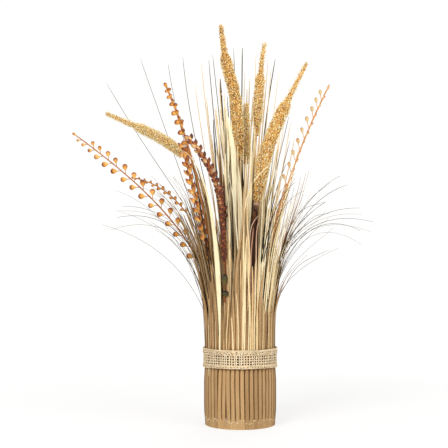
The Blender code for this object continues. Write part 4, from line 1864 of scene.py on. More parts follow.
    def build_sheath(self, skin: Skin, chance: np.random.Generator) -> None:
        """The pinkish sheath under the head and the dark strands that hang below it."""
        base = self.route.length - self.length
        radii = np.array([2.2, 3.6, 4.8, 5.6, 6.0, 6.2, 5.6, 4.4])
        places = np.linspace(base - 13, base + 6, len(radii))
        skin.add_strand(self.route.at(places), Outline.ROUND.ring(2 * radii, 1.7 * radii), RIGHT, 1.0, 2)
        rings = 12
        fan = (1 - 0.45 * np.linspace(1, 0, rings))[:, None]
        for index in range(self.sheath_strands):
            turn = index * 2 * math.pi / self.sheath_strands
            offset = 5.2 * np.array([math.cos(turn), math.sin(turn), 0.0])
            spots = np.linspace(base - 84 - chance.uniform(0, 26), base - 5, rings)
            width = chance.uniform(1.8, 3.4) * np.sin(np.linspace(0.25, 2.7, rings))
            tone = float(chance.choice([0.0, 0.1, 0.3, 0.8], p=[0.35, 0.3, 0.2, 0.15]))
            lines = self.route.at(spots) + offset * fan
            skin.add_strand(lines, Outline.BLADE.ring(width, width * 0.5), RIGHT, tone, 2)

    def build(self, palette: Palette) -> None:
        """Build the foxtail in the place of its CAD node."""
        chance = np.random.default_rng(self.seed + self.number)
        skin = Skin(f"foxtail_{self.number}_head")
        self.build_core(skin)
        self.build_grains(skin, chance)
        self.build_bristles(skin, chance)
        if self.sheath:
            self.build_sheath(skin, chance)
        skin.finish(palette.choose(SEED, STRAW, PLUM), "golden_seed", [f"foxtail_{self.number}"])


@dataclass(frozen=True)
class BudRow:
    """Buds along one side of a twig, counted from its tip; turn 180 is the left side, 0 the right."""

    turn: float
    first: float
    pitch: float
    count: int
    length: float
    radius: float
    lean: float
    stalk: float
    tones: Pair
    crowd: float = 0.0
    young: float = 1.0
    kind: int = 0
    vary: float = 0.1
    shape: Lathe = BUD

    def places(self) -> np.ndarray:
        """Distances of the bud stalks from the twig's tip, closer together near the tip."""
        steps = self.pitch * (1 - self.crowd * np.exp(-np.arange(self.count - 1) / 3.0))
        return self.first + np.concatenate([[0.0], np.cumsum(steps)])


@dataclass
class BudSpray:
    """A slender twig with buds on short stalks at its sides."""

    seed: ClassVar[int] = 160

    number: int
    route: Route
    rows: tuple[BudRow, ...]
    finish: Finish = ORANGE_BUD
    end_bud: Pair = (2.0, 7.0)
    twig: float = 1.15
    twig_tone: float = 0.6
    in_ring: bool = False
    pale_rings: int = 18
    stalk_radii: tuple[float, ...] = (0.7, 0.45, 0.5, 0.8)

    def build_twig(self, skin: Skin) -> None:
        """The twig itself, with a knuckle at every stalk."""
        route = self.route
        places = stem_places(self.in_ring, route.length, 60)
        share = np.clip((places - SPREAD_START) / (route.length - SPREAD_START), 0.0, 1.0)
        radii = self.twig * (1 - 0.4 * share)
        for station in route.length - self.rows[0].places():
            radii = radii + 0.25 * np.exp(-(((places - station) / 2.6) ** 2))
        rings = Outline.ROUND.ring(2 * radii, 2 * radii)
        points = route.at(places)
        low = self.pale_rings if self.in_ring else 0
        skin.add_strand(points[low:], rings[low:], RIGHT, self.twig_tone, 1)
        if low:
            skin.add_strand(points[: low + 1], rings[: low + 1], RIGHT, 0.3, 2)

    def build_row(self, skin: Skin, row: BudRow, chance: np.random.Generator) -> None:
        """Stalks and buds of one row.

        Args:
            skin: Piece that they join.
            row: The row.
            chance: Source of random numbers.
        """
        widths = 2 * np.array(self.stalk_radii)
        stalk_rings = Outline.ROUND.ring(widths, widths)
        bases, axes, sizes, tones = [], [], [], []
        for index, distance in enumerate(row.places()):
            size = min(1.0, row.young + (1 - row.young) * index / 4.0)
            point, ahead = self.route.at(self.route.length - distance + np.array([0.0, 1.0]))
            ahead = unit(ahead - point)
            right = unit(np.cross(ahead, np.array([0.0, -1.0, 0.0])))
            front = np.cross(right, ahead)
            turn = math.radians(row.turn) + 0.3 * math.sin(2.4 * index)
            out = right * math.cos(turn) + front * math.sin(turn)
            lean = row.lean + chance.uniform(-0.08, 0.08)
            axis = unit(ahead * math.cos(lean) + out * math.sin(lean))
            stalk = row.stalk * size
            first = unit(ahead * math.cos(lean * 1.3) + out * math.sin(lean * 1.3))
            bend = point + first * stalk * 0.5
            end = bend + axis * stalk * 0.5
            line = np.array([point, bend, end, end + axis * 0.8])
            skin.add_strand(line, stalk_rings, right, self.twig_tone + 0.15, 1)
            bases.append(end)
            axes.append(axis)
            grown = size * chance.uniform(0.92, 1.08)
            sizes.append((row.radius * grown, row.radius * grown, row.length * grown))
            share = index / max(1, row.count - 1)
            tone = row.tones[0] + (row.tones[1] - row.tones[0]) * share
            tones.append(tone + chance.uniform(-row.vary, row.vary))
        tones = np.clip(tones, 0.0, 1.0)
        skin.add_copies(row.shape, np.array(bases), np.array(axes), np.array(sizes), tones, row.kind)

    def build_end(self, skin: Skin) -> None:
        """The bud at the twig's tip."""
        radius, length = self.end_bud
        place, tip = self.route.at(self.route.length - np.array([length, 0.5]))
        size = np.array([[radius, radius, length]])
        skin.add_copies(BUD, place[None], (tip - place)[None], size, np.array([0.45]), 0)

    def build(self, palette: Palette) -> None:
        """Build the spray in the place of its CAD node."""
        chance = np.random.default_rng(self.seed + self.number)
        skin = Skin(f"bud_spray_{self.number}_buds")
        self.build_twig(skin)
        for row in self.rows:
            self.build_row(skin, row, chance)
        self.build_end(skin)
        if self.in_ring:
            ring_straw_below(skin, self.route.foot, (48.0, 44.0), 0.5, 2)
        finishes = palette.choose(self.finish, TWIG, STRAW, OLIVE_BUD, WINE_BUD)
        skin.finish(finishes, "orange_bud", [f"bud_spray_{self.number}"])


@dataclass
class CreamLeaf:
    """A pale leaf with a fold along its middle."""

    number: int
    route: Route
    width: float
    widest_at: float
    stalk: float
    in_ring: bool = False
    tone: float = 0.6
    fold: float = 0.14
    forward: float = 0.0
    faces_front: bool = False

    def build(self, palette: Palette) -> None:
        """Build the leaf in the place of its CAD node."""
        route = self.route
        skin = Skin(f"cream_leaf_{self.number}_blade")
        places = stem_places(self.in_ring, route.length, 34)
        share = places / route.length
        widening = ease((share - self.widest_at + 0.2) / 0.2)
        past = ease((share - self.widest_at) / (1 - self.widest_at))
        growing = self.stalk + (self.width - self.stalk) * widening
        widths = np.where(share < self.widest_at, growing, self.width * (1 - past) + 0.5)
        depths = np.maximum(0.5, widths * self.fold)
        lean = np.array(route.tip) - np.array([*route.foot, 0.0])
        side = np.array([-0.95, 0.3, 0.0]) if self.faces_front else np.cross(UP, lean)
        points = route.at(places)
        points[:, 1] -= self.forward * ease((places - 230.0) / 60.0)
        if self.in_ring:
            outward = unit(np.array([*route.foot, 0.0]))
            points = points + outward * (3.6 * ease((places - RING_STEM_START) / 16.0))[:, None]
        skin.add_strand(points, Outline.LEAF.ring(widths, depths), unit(side), self.tone, 0)
        if self.in_ring:
            ring_straw_below(skin, route.foot, (47.0, 42.0), 0.55, 1)
        skin.finish(palette.choose(CREAM, STRAW), "cream_leaf", [f"cream_leaf_{self.number}"])


@dataclass
class ThinBlade:
    """A thin dark blade with fainter companions."""

    seed: ClassVar[int] = 200

    node: str
    number: int
    route: Route
    width: float = 2.2
    least: float = 0.55
    companions: int = 2
    spread: float = 14.0
    neighbours: tuple[Neighbour, ...] = ()
    kind: Kind = Kind.DARK

    def build(self, palette: Palette) -> None:
        """Build the blade in the place of its CAD node."""
        chance = np.random.default_rng(self.seed + self.number + 50 * len(self.node))
        skin = Skin(f"{self.node}_fine")
        dark = self.kind.value
        tone = chance.uniform(0.0, 0.3)
        grow_blade(skin, self.route, self.width, 1.2, tone, dark, 0.3, least=self.least, fade=0.7, rings=26)
        for _ in range(self.companions):
            foot = tuple(chance.uniform(-1.6, 1.6, 2))
            reach = chance.uniform(-1.0, 1.0, 3) * self.spread
            tip = (reach[0], reach[1], -abs(reach[2]) * 1.6)
            route = self.route.moved(foot, (reach[0] * 0.4, reach[1] * 0.4, 0.0), tip)
            width = self.width * chance.uniform(0.5, 0.75)
            twist = chance.uniform(-0.6, 0.6)
            grow_blade(skin, route, width, 0.7, chance.uniform(0.3, 0.9), dark, twist, least=0.5)
        for neighbour in self.neighbours:
            foot = (self.route.foot[0] + chance.uniform(-2, 2), self.route.foot[1] + chance.uniform(-2, 2))
            neighbour.grow(skin, foot)
        skin.finish(palette.choose(*KIND_FINISHES), "dry_blade", [self.node])


def outward(point: np.ndarray) -> np.ndarray:
    """Level direction from the foot's axis to a point."""
    return unit(point * (1.0, 1.0, 0.0))


@dataclass
class BurlapBand:
    """Burlap ribbon: woven threads in one strip round the foot, lapped at the back.

    Twisted cords run along its edges at cord_levels, from 0 at the lower edge to 1 at the upper one.
    Each row of painted gaps between them, which are dark strips of painted shade, is a level and
    the distance from one gap to the next.
    """

    weave_seed: ClassVar[int] = 3
    edge_seed: ClassVar[int] = 5

    radius: float = 54.6
    low: float = 85.2
    high: float = 114.3
    front_lift: float = 2.2
    low_edge: float = 5.2
    high_edge: float = 8.2
    rows: int = 5
    columns: int = 100
    lap: float = 16.0
    lap_rise: float = 1.15
    thread: float = 1.58
    depth: float = 0.8
    wave: float = 0.36
    cord_levels: tuple[float, ...] = (0.04, 0.115, 0.74, 0.815, 0.89, 0.965)
    cord_radius: float = 0.72
    cord_lay: float = 4.6
    painted_gap_rows: tuple[Pair, ...] = ((0.085, 5.2), (0.775, 5.0), (0.86, 5.8))
    painted_gap_width: float = 1.1
    frays: int = 18

    @property
    def turn(self) -> float:
        """Whole angle of the strip, in radians."""
        return math.radians(360.0 + 2 * self.lap)

    @property
    def length(self) -> float:
        """Length of the strip when it is laid flat."""
        return self.turn * self.radius

    @property
    def height(self) -> float:
        """Width of the strip from its lower edge to its upper one."""
        return self.high - self.low

    @property
    def woven(self) -> float:
        """The part of that width between the outermost round threads."""
        return self.height - self.low_edge - self.high_edge

    def surface(self, share: np.ndarray, level: np.ndarray, out: np.ndarray) -> np.ndarray:
        """Points of the strip.

        Args:
            share: Place along the strip, from 0 to 1.
            level: Place across the strip, from 0 at its lower edge to 1 at its upper one.
            out: Distance out of the strip's middle surface.

        Returns:
            Points of the same number.
        """
        angle = math.radians(90.0 - self.lap) + self.turn * share
        rise = self.lap_rise * ease((share - 0.88) / 0.06)
        radius = self.radius + rise + out
        low = self.low + self.front_lift * ease(-np.sin(angle)) + 0 * radius
        height = low + (self.high - low) * level
        return np.stack([radius * np.cos(angle), radius * np.sin(angle), height], -1)

    def build_round_threads(self, skin: Skin, chance: np.random.Generator) -> None:
        """Threads that run round the foot, over and under the upright ones."""
        share = np.linspace(0.0, 1.0, self.columns * 3 + 1)
        for row in range(self.rows):
            level = (self.low_edge + self.woven * row / (self.rows - 1)) / self.height
            phase = math.pi * (share * self.columns + row)
            wander = 0.007 * np.sin(share * 47.0 + 9 * chance.random()) + 0.003 * np.sin(share * 211.0)
            points = self.surface(share, level + wander, self.wave * np.cos(phase))
            widths = self.thread * (1 + 0.12 * np.sin(share * 160 + row))
            rings = Outline.ROUND.ring(self.depth + 0 * widths, widths)
            skin.add_strand(points, rings, outward(points[0]), chance.uniform(0.7, 1.0), 0)

    def build_upright_threads(self, skin: Skin, chance: np.random.Generator) -> None:
        """Upright threads, each over and under the round ones."""
        steps = self.rows * 2 + 5
        levels = np.linspace(0.01, 0.99, steps)
        row = (levels * self.height - self.low_edge) / self.woven * (self.rows - 1)
        for column in range(self.columns):
            share = (column + 0.5 + chance.uniform(-0.22, 0.22)) / self.columns
            out = -self.wave * np.cos(math.pi * (row + column))
            out = np.where((row < -0.3) | (row > self.rows - 0.7), -0.5 * self.wave, out)
            slant = (chance.uniform(-0.2, 0.2) * np.linspace(-1, 1, steps)) / self.columns
            points = self.surface(share + slant, levels, out)
            widths = np.full(steps, self.thread * chance.uniform(0.75, 1.3))
            rings = Outline.ROUND.ring(widths, self.depth + 0 * widths)
            angle = math.radians(90.0 - self.lap) + self.turn * share
            across = np.array([math.sin(angle), -math.cos(angle), 0.0])
            skin.add_strand(points, rings, across, chance.uniform(0.6, 1.0), 0)

    def build_shade_sheet(self, skin: Skin) -> None:
        """A dark sheet of painted shade inside the strip, seen through the open weave."""
        share = np.linspace(0.0, 1.0, 240)
        level = 0.5 + 0 * share
        points = self.surface(share, level, -0.55 + 0 * share)
        rings = Outline.BLADE.ring(0.3 + 0 * share, (self.height - 3.0) + 0 * share)
        skin.add_strand(points, rings, outward(points[0]), 0.0, 0)

    def build_painted_gaps(self, skin: Skin, chance: np.random.Generator) -> None:
        """Short slanting dark strips of painted shade, standing for the gaps between the twisted cords of
        the two edges.
        """
        steps = np.linspace(-1.0, 1.0, 5)
        width = self.painted_gap_width * np.sqrt(1.0 - 0.8 * steps**2)
        rings = Outline.BLADE.ring(width, 0.5 * width)
        for level, step in self.painted_gap_rows:
            for place in np.arange(0.0, self.length, step):
                share = (place + chance.uniform(-1.4, 1.4)) / self.length
                slant = chance.choice([-1.0, 1.0]) * chance.uniform(0.5, 1.0) / self.length
                middle = level + chance.uniform(-0.025, 0.025)
                points = self.surface(share + slant * steps, middle + 0.032 * steps, 0.95 + 0 * steps)
                skin.add_strand(points, rings, np.cross(UP, outward(points[2])), 0.0, 0)

    def build_cords(self, skin: Skin) -> None:
        """Twisted cords along the two edges, each of two plies."""
        share = np.linspace(0.0, 1.0, 640)
        widths = np.full(len(share), 2 * self.cord_radius)
        rings = Outline.ROUND.ring(widths, widths)[:, ::2]
        for number, level in enumerate(self.cord_levels):
            lay = 1 if number % 2 else -1
            for ply in (0.0, math.pi):
                wind = lay * share * self.length / self.cord_lay * 2 * math.pi + ply + number
                points = self.surface(share, level + 0.022 * np.sin(wind), 0.38 + 0.22 * np.cos(wind))
                skin.add_strand(points, rings, outward(points[0]), 0.7 if ply else 1.0, 0)

    def build_frays(self, skin: Skin, chance: np.random.Generator) -> None:
        """Loose thread ends where the strip ends at the back."""
        width = np.linspace(0.7, 0.25, 5)
        rings = Outline.BLADE.ring(width, width * 0.7)
        for level in np.linspace(0.03, 0.97, self.frays):
            ends = np.linspace(0.995, 1.0 + chance.uniform(0.004, 0.012), 5)
            levels = level + np.linspace(0, chance.uniform(-0.05, 0.05), 5)
            points = self.surface(ends, levels, 0.1 + 0 * ends)
            skin.add_strand(points, rings, outward(points[0]), 0.6, 0)

    def build_edges(self, palette: Palette) -> bpy.types.Object:
        """Make the piece of cords, painted shade sheet, painted gaps and frayed end."""
        skin = Skin("burlap_edge_cords")
        chance = np.random.default_rng(self.edge_seed)
        self.build_cords(skin)
        self.build_shade_sheet(skin)
        self.build_painted_gaps(skin, chance)
        self.build_frays(skin, chance)
        return skin.finish(palette.choose(BURLAP), "burlap", [])

    def build(self, palette: Palette) -> None:
        chance = np.random.default_rng(self.weave_seed)
        skin = Skin("burlap_band_weave")
        self.build_round_threads(skin, chance)
        self.build_upright_threads(skin, chance)
        band = skin.finish(palette.choose(BURLAP), "burlap", ["burlap_band"])
        edges = self.build_edges(palette)


@dataclass(frozen=True)
class Lamp:
    """A soft square lamp: where it hangs, the length of its side in metres and its power in watts."""

    name: str
    place: Triple
    size: float
    power: float

    def build(self, target: Triple) -> None:
        """Hang the lamp so that it faces the target."""
        data = bpy.data.lights.new(self.name, "AREA")
        data.size = self.size
        data.energy = self.power
        lamp = bpy.data.objects.new(self.name, data)
        lamp.location = self.place
        away = Vector(self.place) - Vector(target)
        lamp.rotation_euler = away.to_track_quat("Z", "Y").to_euler()
        bpy.context.scene.collection.objects.link(lamp)


@dataclass
class Studio:
    """Pale floor, soft light and the camera. Lengths are in metres.

    Where the camera sees the floor near the sheaf, it glows by glow_near and lacks lost_near of its
    own paper. From fade_from to fade_to the glow grows by glow_more and the paper fades out.
    """

    eye: Triple = (-0.0241, -1.40, 0.25)
    pitch: float = 2.0
    lens: float = 74.65
    lamp_target: Triple = (0.0, 0.0, 0.27)
    lamps: tuple[Lamp, ...] = (
        Lamp("key_lamp", (-1.1, -1.9, 1.5), 1.3, 36.0),
        Lamp("fill_lamp", (1.6, -1.5, 0.7), 1.6, 22.0),
        Lamp("back_lamp", (0.4, 2.0, 1.6), 1.6, 14.0),
    )
    world_light: float = 0.5
    world_seen: float = 1.05
    floor_size: float = 8.0
    fade_from: float = 0.3
    fade_to: float = 1.2
    glow_near: float = 0.66
    glow_more: float = 0.39
    lost_near: float = 0.5

    def build_camera(self) -> None:
        """Set the camera in front of the sheaf, a little below its middle."""
        data = bpy.data.cameras.new("front_camera")
        data.lens = self.lens
        data.sensor_width = 36.0
        camera = bpy.data.objects.new("front_camera", data)
        camera.location = self.eye
        camera.rotation_euler = (math.radians(90.0 + self.pitch), 0.0, 0.0)
        bpy.context.scene.collection.objects.link(camera)
        bpy.context.scene.camera = camera

    def build_world(self) -> None:
        """Light from all round, with white behind the sheaf."""
        world = bpy.data.worlds.new("studio")
        world.use_nodes = True
        bpy.context.scene.world = world
        wiring = Wiring(world.node_tree)
        background = world.node_tree.nodes["Background"]
        background.inputs["Color"].default_value = (1.0, 0.985, 0.965, 1.0)
        path = wiring.node("ShaderNodeLightPath")
        seen = wiring.math("MAXIMUM", path.outputs["Is Camera Ray"], path.outputs["Is Glossy Ray"])
        seen = wiring.math("MAXIMUM", seen, path.outputs["Is Transmission Ray"])
        level = wiring.remap(seen, (0.0, 1.0), (self.world_light, self.world_seen))
        wiring.link(level, background.inputs["Strength"])

    def floor_paper(self) -> bpy.types.Material:
        """White paper that keeps a soft shadow and is no brighter than white when seen."""
        material = bpy.data.materials.new("floor_paper")
        material.use_nodes = True
        wiring = Wiring(material.node_tree)
        shader = material.node_tree.nodes["Principled BSDF"]
        shader.inputs["Roughness"].default_value = 0.9
        shader.inputs["Specular IOR Level"].default_value = 0.0
        shader.inputs["Emission Color"].default_value = (1.0, 1.0, 1.0, 1.0)
        grain = wiring.noise(None, 3.0)
        paper = wiring.ramp(grain, ((0.3, (0.72, 0.72, 0.72)), (0.7, (0.74, 0.74, 0.735))))
        distance = wiring.node("ShaderNodeVectorMath", operation="LENGTH")
        wiring.link(wiring.node("ShaderNodeTexCoord").outputs["Object"], distance.inputs[0])
        far = wiring.remap(distance.outputs["Value"], (self.fade_from, self.fade_to))
        seen = wiring.node("ShaderNodeLightPath").outputs["Is Camera Ray"]
        glow = wiring.math("MULTIPLY_ADD", far, self.glow_more, self.glow_near)
        wiring.link(wiring.math("MULTIPLY", glow, seen), shader.inputs["Emission Strength"])
        lost = wiring.math("MULTIPLY_ADD", far, 1.0 - self.lost_near, self.lost_near)
        kept = wiring.math("SUBTRACT", 1.0, wiring.math("MULTIPLY", lost, seen))
        wiring.link(wiring.stretch(paper, kept), shader.inputs["Base Color"])
        return material

    def build_floor(self) -> None:
        """A square floor round the sheaf."""
        half = self.floor_size / 2
        mesh = bpy.data.meshes.new("floor")
        corners = [(-half, -half, 0), (half, -half, 0), (half, half, 0), (-half, half, 0)]
        mesh.from_pydata(corners, [], [(0, 1, 2, 3)])
        mesh.materials.append(self.floor_paper())
        floor = bpy.data.objects.new("floor", mesh)
        bpy.context.scene.collection.objects.link(floor)

    def build(self) -> None:
        """Build the whole studio."""
        self.build_camera()
        self.build_world()
        self.build_floor()
        for lamp in self.lamps:
            lamp.build(self.lamp_target)
        bpy.context.scene.view_settings.view_transform = "Standard"
        LOG.info("studio: camera, world, floor, %d lamps", len(self.lamps))


FOXTAILS = (
    Foxtail(
        1, Route((1, -9), 507, (-10, -11, 428), (-29, -12, 599)),
        208, 9.0, 0.19, 0.95, 2200, base=0.5, light=-0.15,
    ),
    Foxtail(2, Route((13, 9), 64, (27, 20, 557), (40, 30, 581)), 148, 7.4, 0.32, 0.95, 2000, base=0.25),
    Foxtail(
        3, Route((14, -24), 270, (36, -40, 412), (97, -52, 533)), 218, 11.2, 0.26, 0.84,
        sheath=True, base=0.72, slender=0.27,
    ),
    Foxtail(
        4, Route((-27, 9), 307, (-98, 10, 418), (-207, 35, 472)),
        141, 6.4, 0.36, 0.9, 3600, 6.5, base=0.6,
    ),
    # The fifth head's light is painted light against the first head's shadow
    Foxtail(5, Route((3, 14), 140, (9, 4, 396), (10, 2, 482)), 92, 6.8, 0.12, 0.6, 1800, 5.5, light=0.15),
)

SPRAYS = (
    BudSpray(
        1,
        Route((-37, -3), 104, (-73, -9, 307), (-250, -20, 434)),
        (
            BudRow(180, 17, 20.0, 15, 10.4, 4.0, 0.75, 5.2, (0.62, 0.42), 0.45, 0.5),
            BudRow(0, 39, 19.6, 12, 10.4, 4.0, 0.75, 5.2, (0.55, 0.45), 0.35, 0.75),
        ),
        twig=1.25,
        twig_tone=0.35,
    ),
    BudSpray(
        2,
        Route((-35, 6), 131, (-73, 20, 355), (-167, 30, 372)),
        (
            BudRow(180, 10, 13.0, 9, 6.4, 2.3, 0.5, 1.6, (0.2, 0.5), 0.3, 0.6),
            BudRow(0, 15, 13.0, 9, 6.4, 2.3, 0.5, 1.6, (0.1, 0.5), 0.3, 0.6),
        ),
        twig=1.0,
        twig_tone=0.2,
    ),
    BudSpray(
        3,
        Route((-28, 0), 66, (-59, -4, 397), (-114, -6, 512)),
        (
            BudRow(180, 16, 18.5, 8, 9.6, 4.2, 0.7, 2.0, (0.45, 0.3), 0.45, 0.6),
            BudRow(0, 16, 26.0, 4, 8.5, 3.6, 0.5, 1.5, (0.1, 0.15), 0.0, 0.7),
            BudRow(60, 9, 10.0, 10, 7.0, 2.6, 0.3, 1.0, (0.35, 0.25), 0.2, 0.6, vary=0.3),
        ),
        twig=2.5,
        twig_tone=0.45,
        end_bud=(2.9, 9.0),
    ),
    BudSpray(
        4,
        Route((-28, -16), 97, (-86, -58, 401), (-82, -60, 409)),
        (
            BudRow(165, 5, 14.3, 14, 14.0, 3.0, 0.62, 0.6, (0.45, 0.5), 0.1, vary=0.2, shape=POD),
            BudRow(10, 12, 14.3, 13, 12.5, 2.9, 0.4, 0.6, (0.1, 0.3), 0.1, vary=0.3, shape=POD),
            BudRow(75, 17, 14.3, 12, 13.5, 2.8, 0.3, 0.6, (0.3, 0.45), 0.1, vary=0.3, shape=POD),
            BudRow(120, 9, 11.5, 16, 10.0, 2.6, 0.4, 0.5, (0.5, 0.4), kind=4, vary=0.4, shape=POD),
        ),
        twig=2.6,
        twig_tone=0.05,
    ),
    BudSpray(
        5,
        Route((-18, -24), 233, (-33, -37, 371), (-77, -42, 425)),
        (
            BudRow(180, 5, 8.4, 15, 11.0, 2.7, 0.4, 0.4, (0.6, 0.2), vary=0.3, shape=POD),
            BudRow(0, 7, 10.6, 13, 10.5, 3.1, 0.75, 1.2, (0.15, 0.1), vary=0.15, shape=POD),
            BudRow(60, 9, 9.2, 13, 11.0, 2.6, 0.3, 0.4, (0.75, 0.35), vary=0.4, shape=POD),
            BudRow(120, 12, 9.2, 13, 11.0, 2.6, 0.3, 0.4, (0.7, 0.3), vary=0.4, shape=POD),
        ),
        WINE_BUD,
        (2.6, 9.0),
        2.4,
        0.62,
    ),
    BudSpray(
        6,
        Route((-22.5, -45.6), 80, (-23, -58, 270), (-30, -66, 352)),
        (
            BudRow(170, 4, 6.1, 18, 6.6, 2.3, 0.5, 0.4, (0.4, 0.1), vary=0.35),
            BudRow(10, 6, 5.7, 19, 6.6, 2.3, 0.5, 0.4, (0.2, 0.0), vary=0.25),
            BudRow(65, 5, 6.7, 17, 5.6, 2.0, 0.35, 0.3, (0.4, 0.05), vary=0.4),
            BudRow(115, 7, 6.3, 18, 5.6, 2.0, 0.35, 0.3, (0.4, 0.05), vary=0.4),
            BudRow(85, 146, 22.0, 1, 17.0, 4.3, 0.12, 0.5, (0.6, 0.6), kind=3),
            BudRow(50, 163, 22.0, 1, 9.5, 4.6, 0.3, 0.5, (0.4, 0.4), kind=3),
        ),
        WINE_BUD,
        (2.6, 8.0),
        1.8,
        0.15,
        True,
    ),
    BudSpray(
        7,
        Route((30, -9), 120, (65, -36, 372), (132, -30, 504)),
        (
            BudRow(175, 26, 19.3, 9, 9.5, 2.7, 0.62, 9.0, (0.85, 0.65), 0.3, 0.9),
            BudRow(0, 12, 14.5, 18, 7.6, 1.3, 0.16, 1.5, (0.6, 0.3), vary=0.25),
            BudRow(90, 8, 15.5, 17, 7.6, 1.2, 0.16, 1.0, (0.6, 0.3), vary=0.25),
            BudRow(150, 170, 10.5, 11, 8.2, 2.2, 0.3, 1.5, (0.5, 0.2), vary=0.25),
            BudRow(30, 176, 10.5, 11, 8.2, 2.2, 0.3, 1.5, (0.5, 0.2), vary=0.25),
        ),
        SALMON_BUD,
        (1.7, 9.0),
        1.5,
        0.65,
    ),
)

LEAVES = (
    CreamLeaf(
        1, Route((-3, -22), 90, (3, -56, 392), (-28, -58, 486)),
        15.5, 0.68, 2.0, tone=0.8, fold=0.05, forward=8.0, faces_front=True,
    ),
    CreamLeaf(
        2, Route((-28.2, -42.2), 140, (-40, -64, 402), (-93, -72, 405)),
        7.2, 0.5, 2.2, in_ring=True, tone=0.65, faces_front=True,
    ),
    CreamLeaf(3, Route((18, 33), 130, (30, 52, 330), (66, 84, 470)), 9.0, 0.62, 3.2),
    CreamLeaf(4, Route((-8, 37), 120, (-10, 56, 330), (-18, 84, 455)), 9.0, 0.60, 3.2),
    CreamLeaf(5, Route((34, -17), 90, (56, -36, 300), (82, -64, 400)), 7.0, 0.55, 3.2),
    CreamLeaf(6, Route((-23, 32), 110, (-40, 56, 330), (-86, 98, 440)), 8.0, 0.58, 3.2),
)

TALL_BLADES = (
    Route((-30, 16), 185, (-80, 36, 300), (-210, 62, 524)),
    Route((-22, 26), 84, (-118, 40, 450), (-156, 58, 562)),
    Route((-19, 15), 115, (-86, 34, 386), (-112, 46, 552)),
    Route((-14, 31), 138, (-74, 62, 395), (-91, 100, 573)),
    Route((-9, 22), 167, (-25, 42, 402), (-42, 60, 569)),
    Route((3, 27), 193, (2, 45, 371), (5, 60, 580)),
    Route((14, 24), 96, (32, 42, 425), (57, 62, 562)),
    Route((25, 3), 178, (50, 8, 351), (75, 15, 464)),
)

# Straws and blades beside the tall ones, by the tall one's number
BACK = {
    3: (Neighbour((-60, 50, 554), 1.9, 0.9), Neighbour((-70, 50, 520), 1.5, 0.8)),
    4: (Neighbour((-48, 50, 558), 1.8, 0.8, Kind.DARK), Neighbour((-52, 50, 500), 2.2, 0.95)),
    5: (
        Neighbour((-30, 46, 528), 4.4, 0.3, Kind.DARK, 2, 0.5),
        Neighbour((-32, 44, 526), 2.4, 0.9, Kind.STRAW, 3),
        Neighbour((-27, 46, 490), 3.4, 0.9, Kind.CREAM, 2),
        Neighbour((-38, 46, 480), 3.0, 0.95, Kind.STRAW, 2),
        Neighbour((-24, 44, 505), 2.6, 1.0, Kind.STRAW, 2),
        Neighbour((-35, 46, 470), 3.0, 0.8, Kind.CREAM, 2),
        Neighbour((-44, 46, 440), 2.6, 0.9),
    ),
    6: (
        Neighbour((-9, 50, 577), 1.7, 0.7, Kind.DARK, 2),
        Neighbour((-16, 46, 524), 2.6, 0.2, Kind.DARK, 0, 0.8),
        Neighbour((-19, 46, 500), 1.6, 0.7, Kind.DARK, 0, 0.8),
        Neighbour((-20, 46, 480), 3.0, 1.0),
        Neighbour((-12, 46, 520), 3.0, 0.95),
        Neighbour((-6, 40, 470), 3.4, 1.0),
        Neighbour((8, 46, 540), 1.8, 0.95),
        Neighbour((12, 46, 512), 3.2, 1.0),
        Neighbour((16, 46, 528), 2.6, 1.0),
        Neighbour((21, 46, 498), 3.2, 0.95),
        Neighbour((4, 46, 500), 3.0, 0.9),
    ),
    7: (
        Neighbour((26, 50, 568), 1.8, 1.0),
        Neighbour((45, 50, 560), 1.8, 0.9),
        Neighbour((50, 50, 544), 2.0, 1.0),
        Neighbour((62, 50, 540), 1.4, 0.9),
        Neighbour((24, 46, 500), 3.0, 1.0),
        Neighbour((34, 46, 480), 2.8, 0.85),
        Neighbour((40, 40, 505), 2.4, 1.0),
    ),
    8: (
        Neighbour((78, 20, 455), 1.8, 0.9),
        Neighbour((70, 18, 470), 1.6, 0.95),
        Neighbour((84, 20, 430), 2.0, 0.7),
        Neighbour((62, 16, 440), 2.2, 1.0),
        Neighbour((90, 16, 415), 1.8, 0.9),
    ),
}

# The arching blade that is pale; all the others are dark
PALE_ARCHING_BLADE = 11

ARCHING_BLADES = (
    Route((36, -18), 84, (72, -42, 332), (143, -62, 366)),
    Route((38, 1), 139, (92, 10, 308), (132, 20, 334)),
    Route((32, 20), 100, (78, 44, 328), (192, 74, 327)),
    Route((36, 10), 101, (82, 18, 335), (206, 30, 303)),
    Route((38, -10), 55, (73, -15, 343), (178, -25, 288)),
    Route((-34, 18), 92, (-74, 42, 330), (-186, 78, 330)),
    Route((-36, -14), 80, (-70, -30, 330), (-178, -66, 306)),
    Route((0, 38), 90, (0, 86, 350), (6, 165, 352)),
    Route((-19, 33), 90, (-45, 78, 340), (-82, 142, 322)),
    Route((22, -34), 110, (40, -66, 330), (74, -128, 352)),
    Route((0, -38), 120, (-2, -68, 330), (-8, -132, 372)),
)

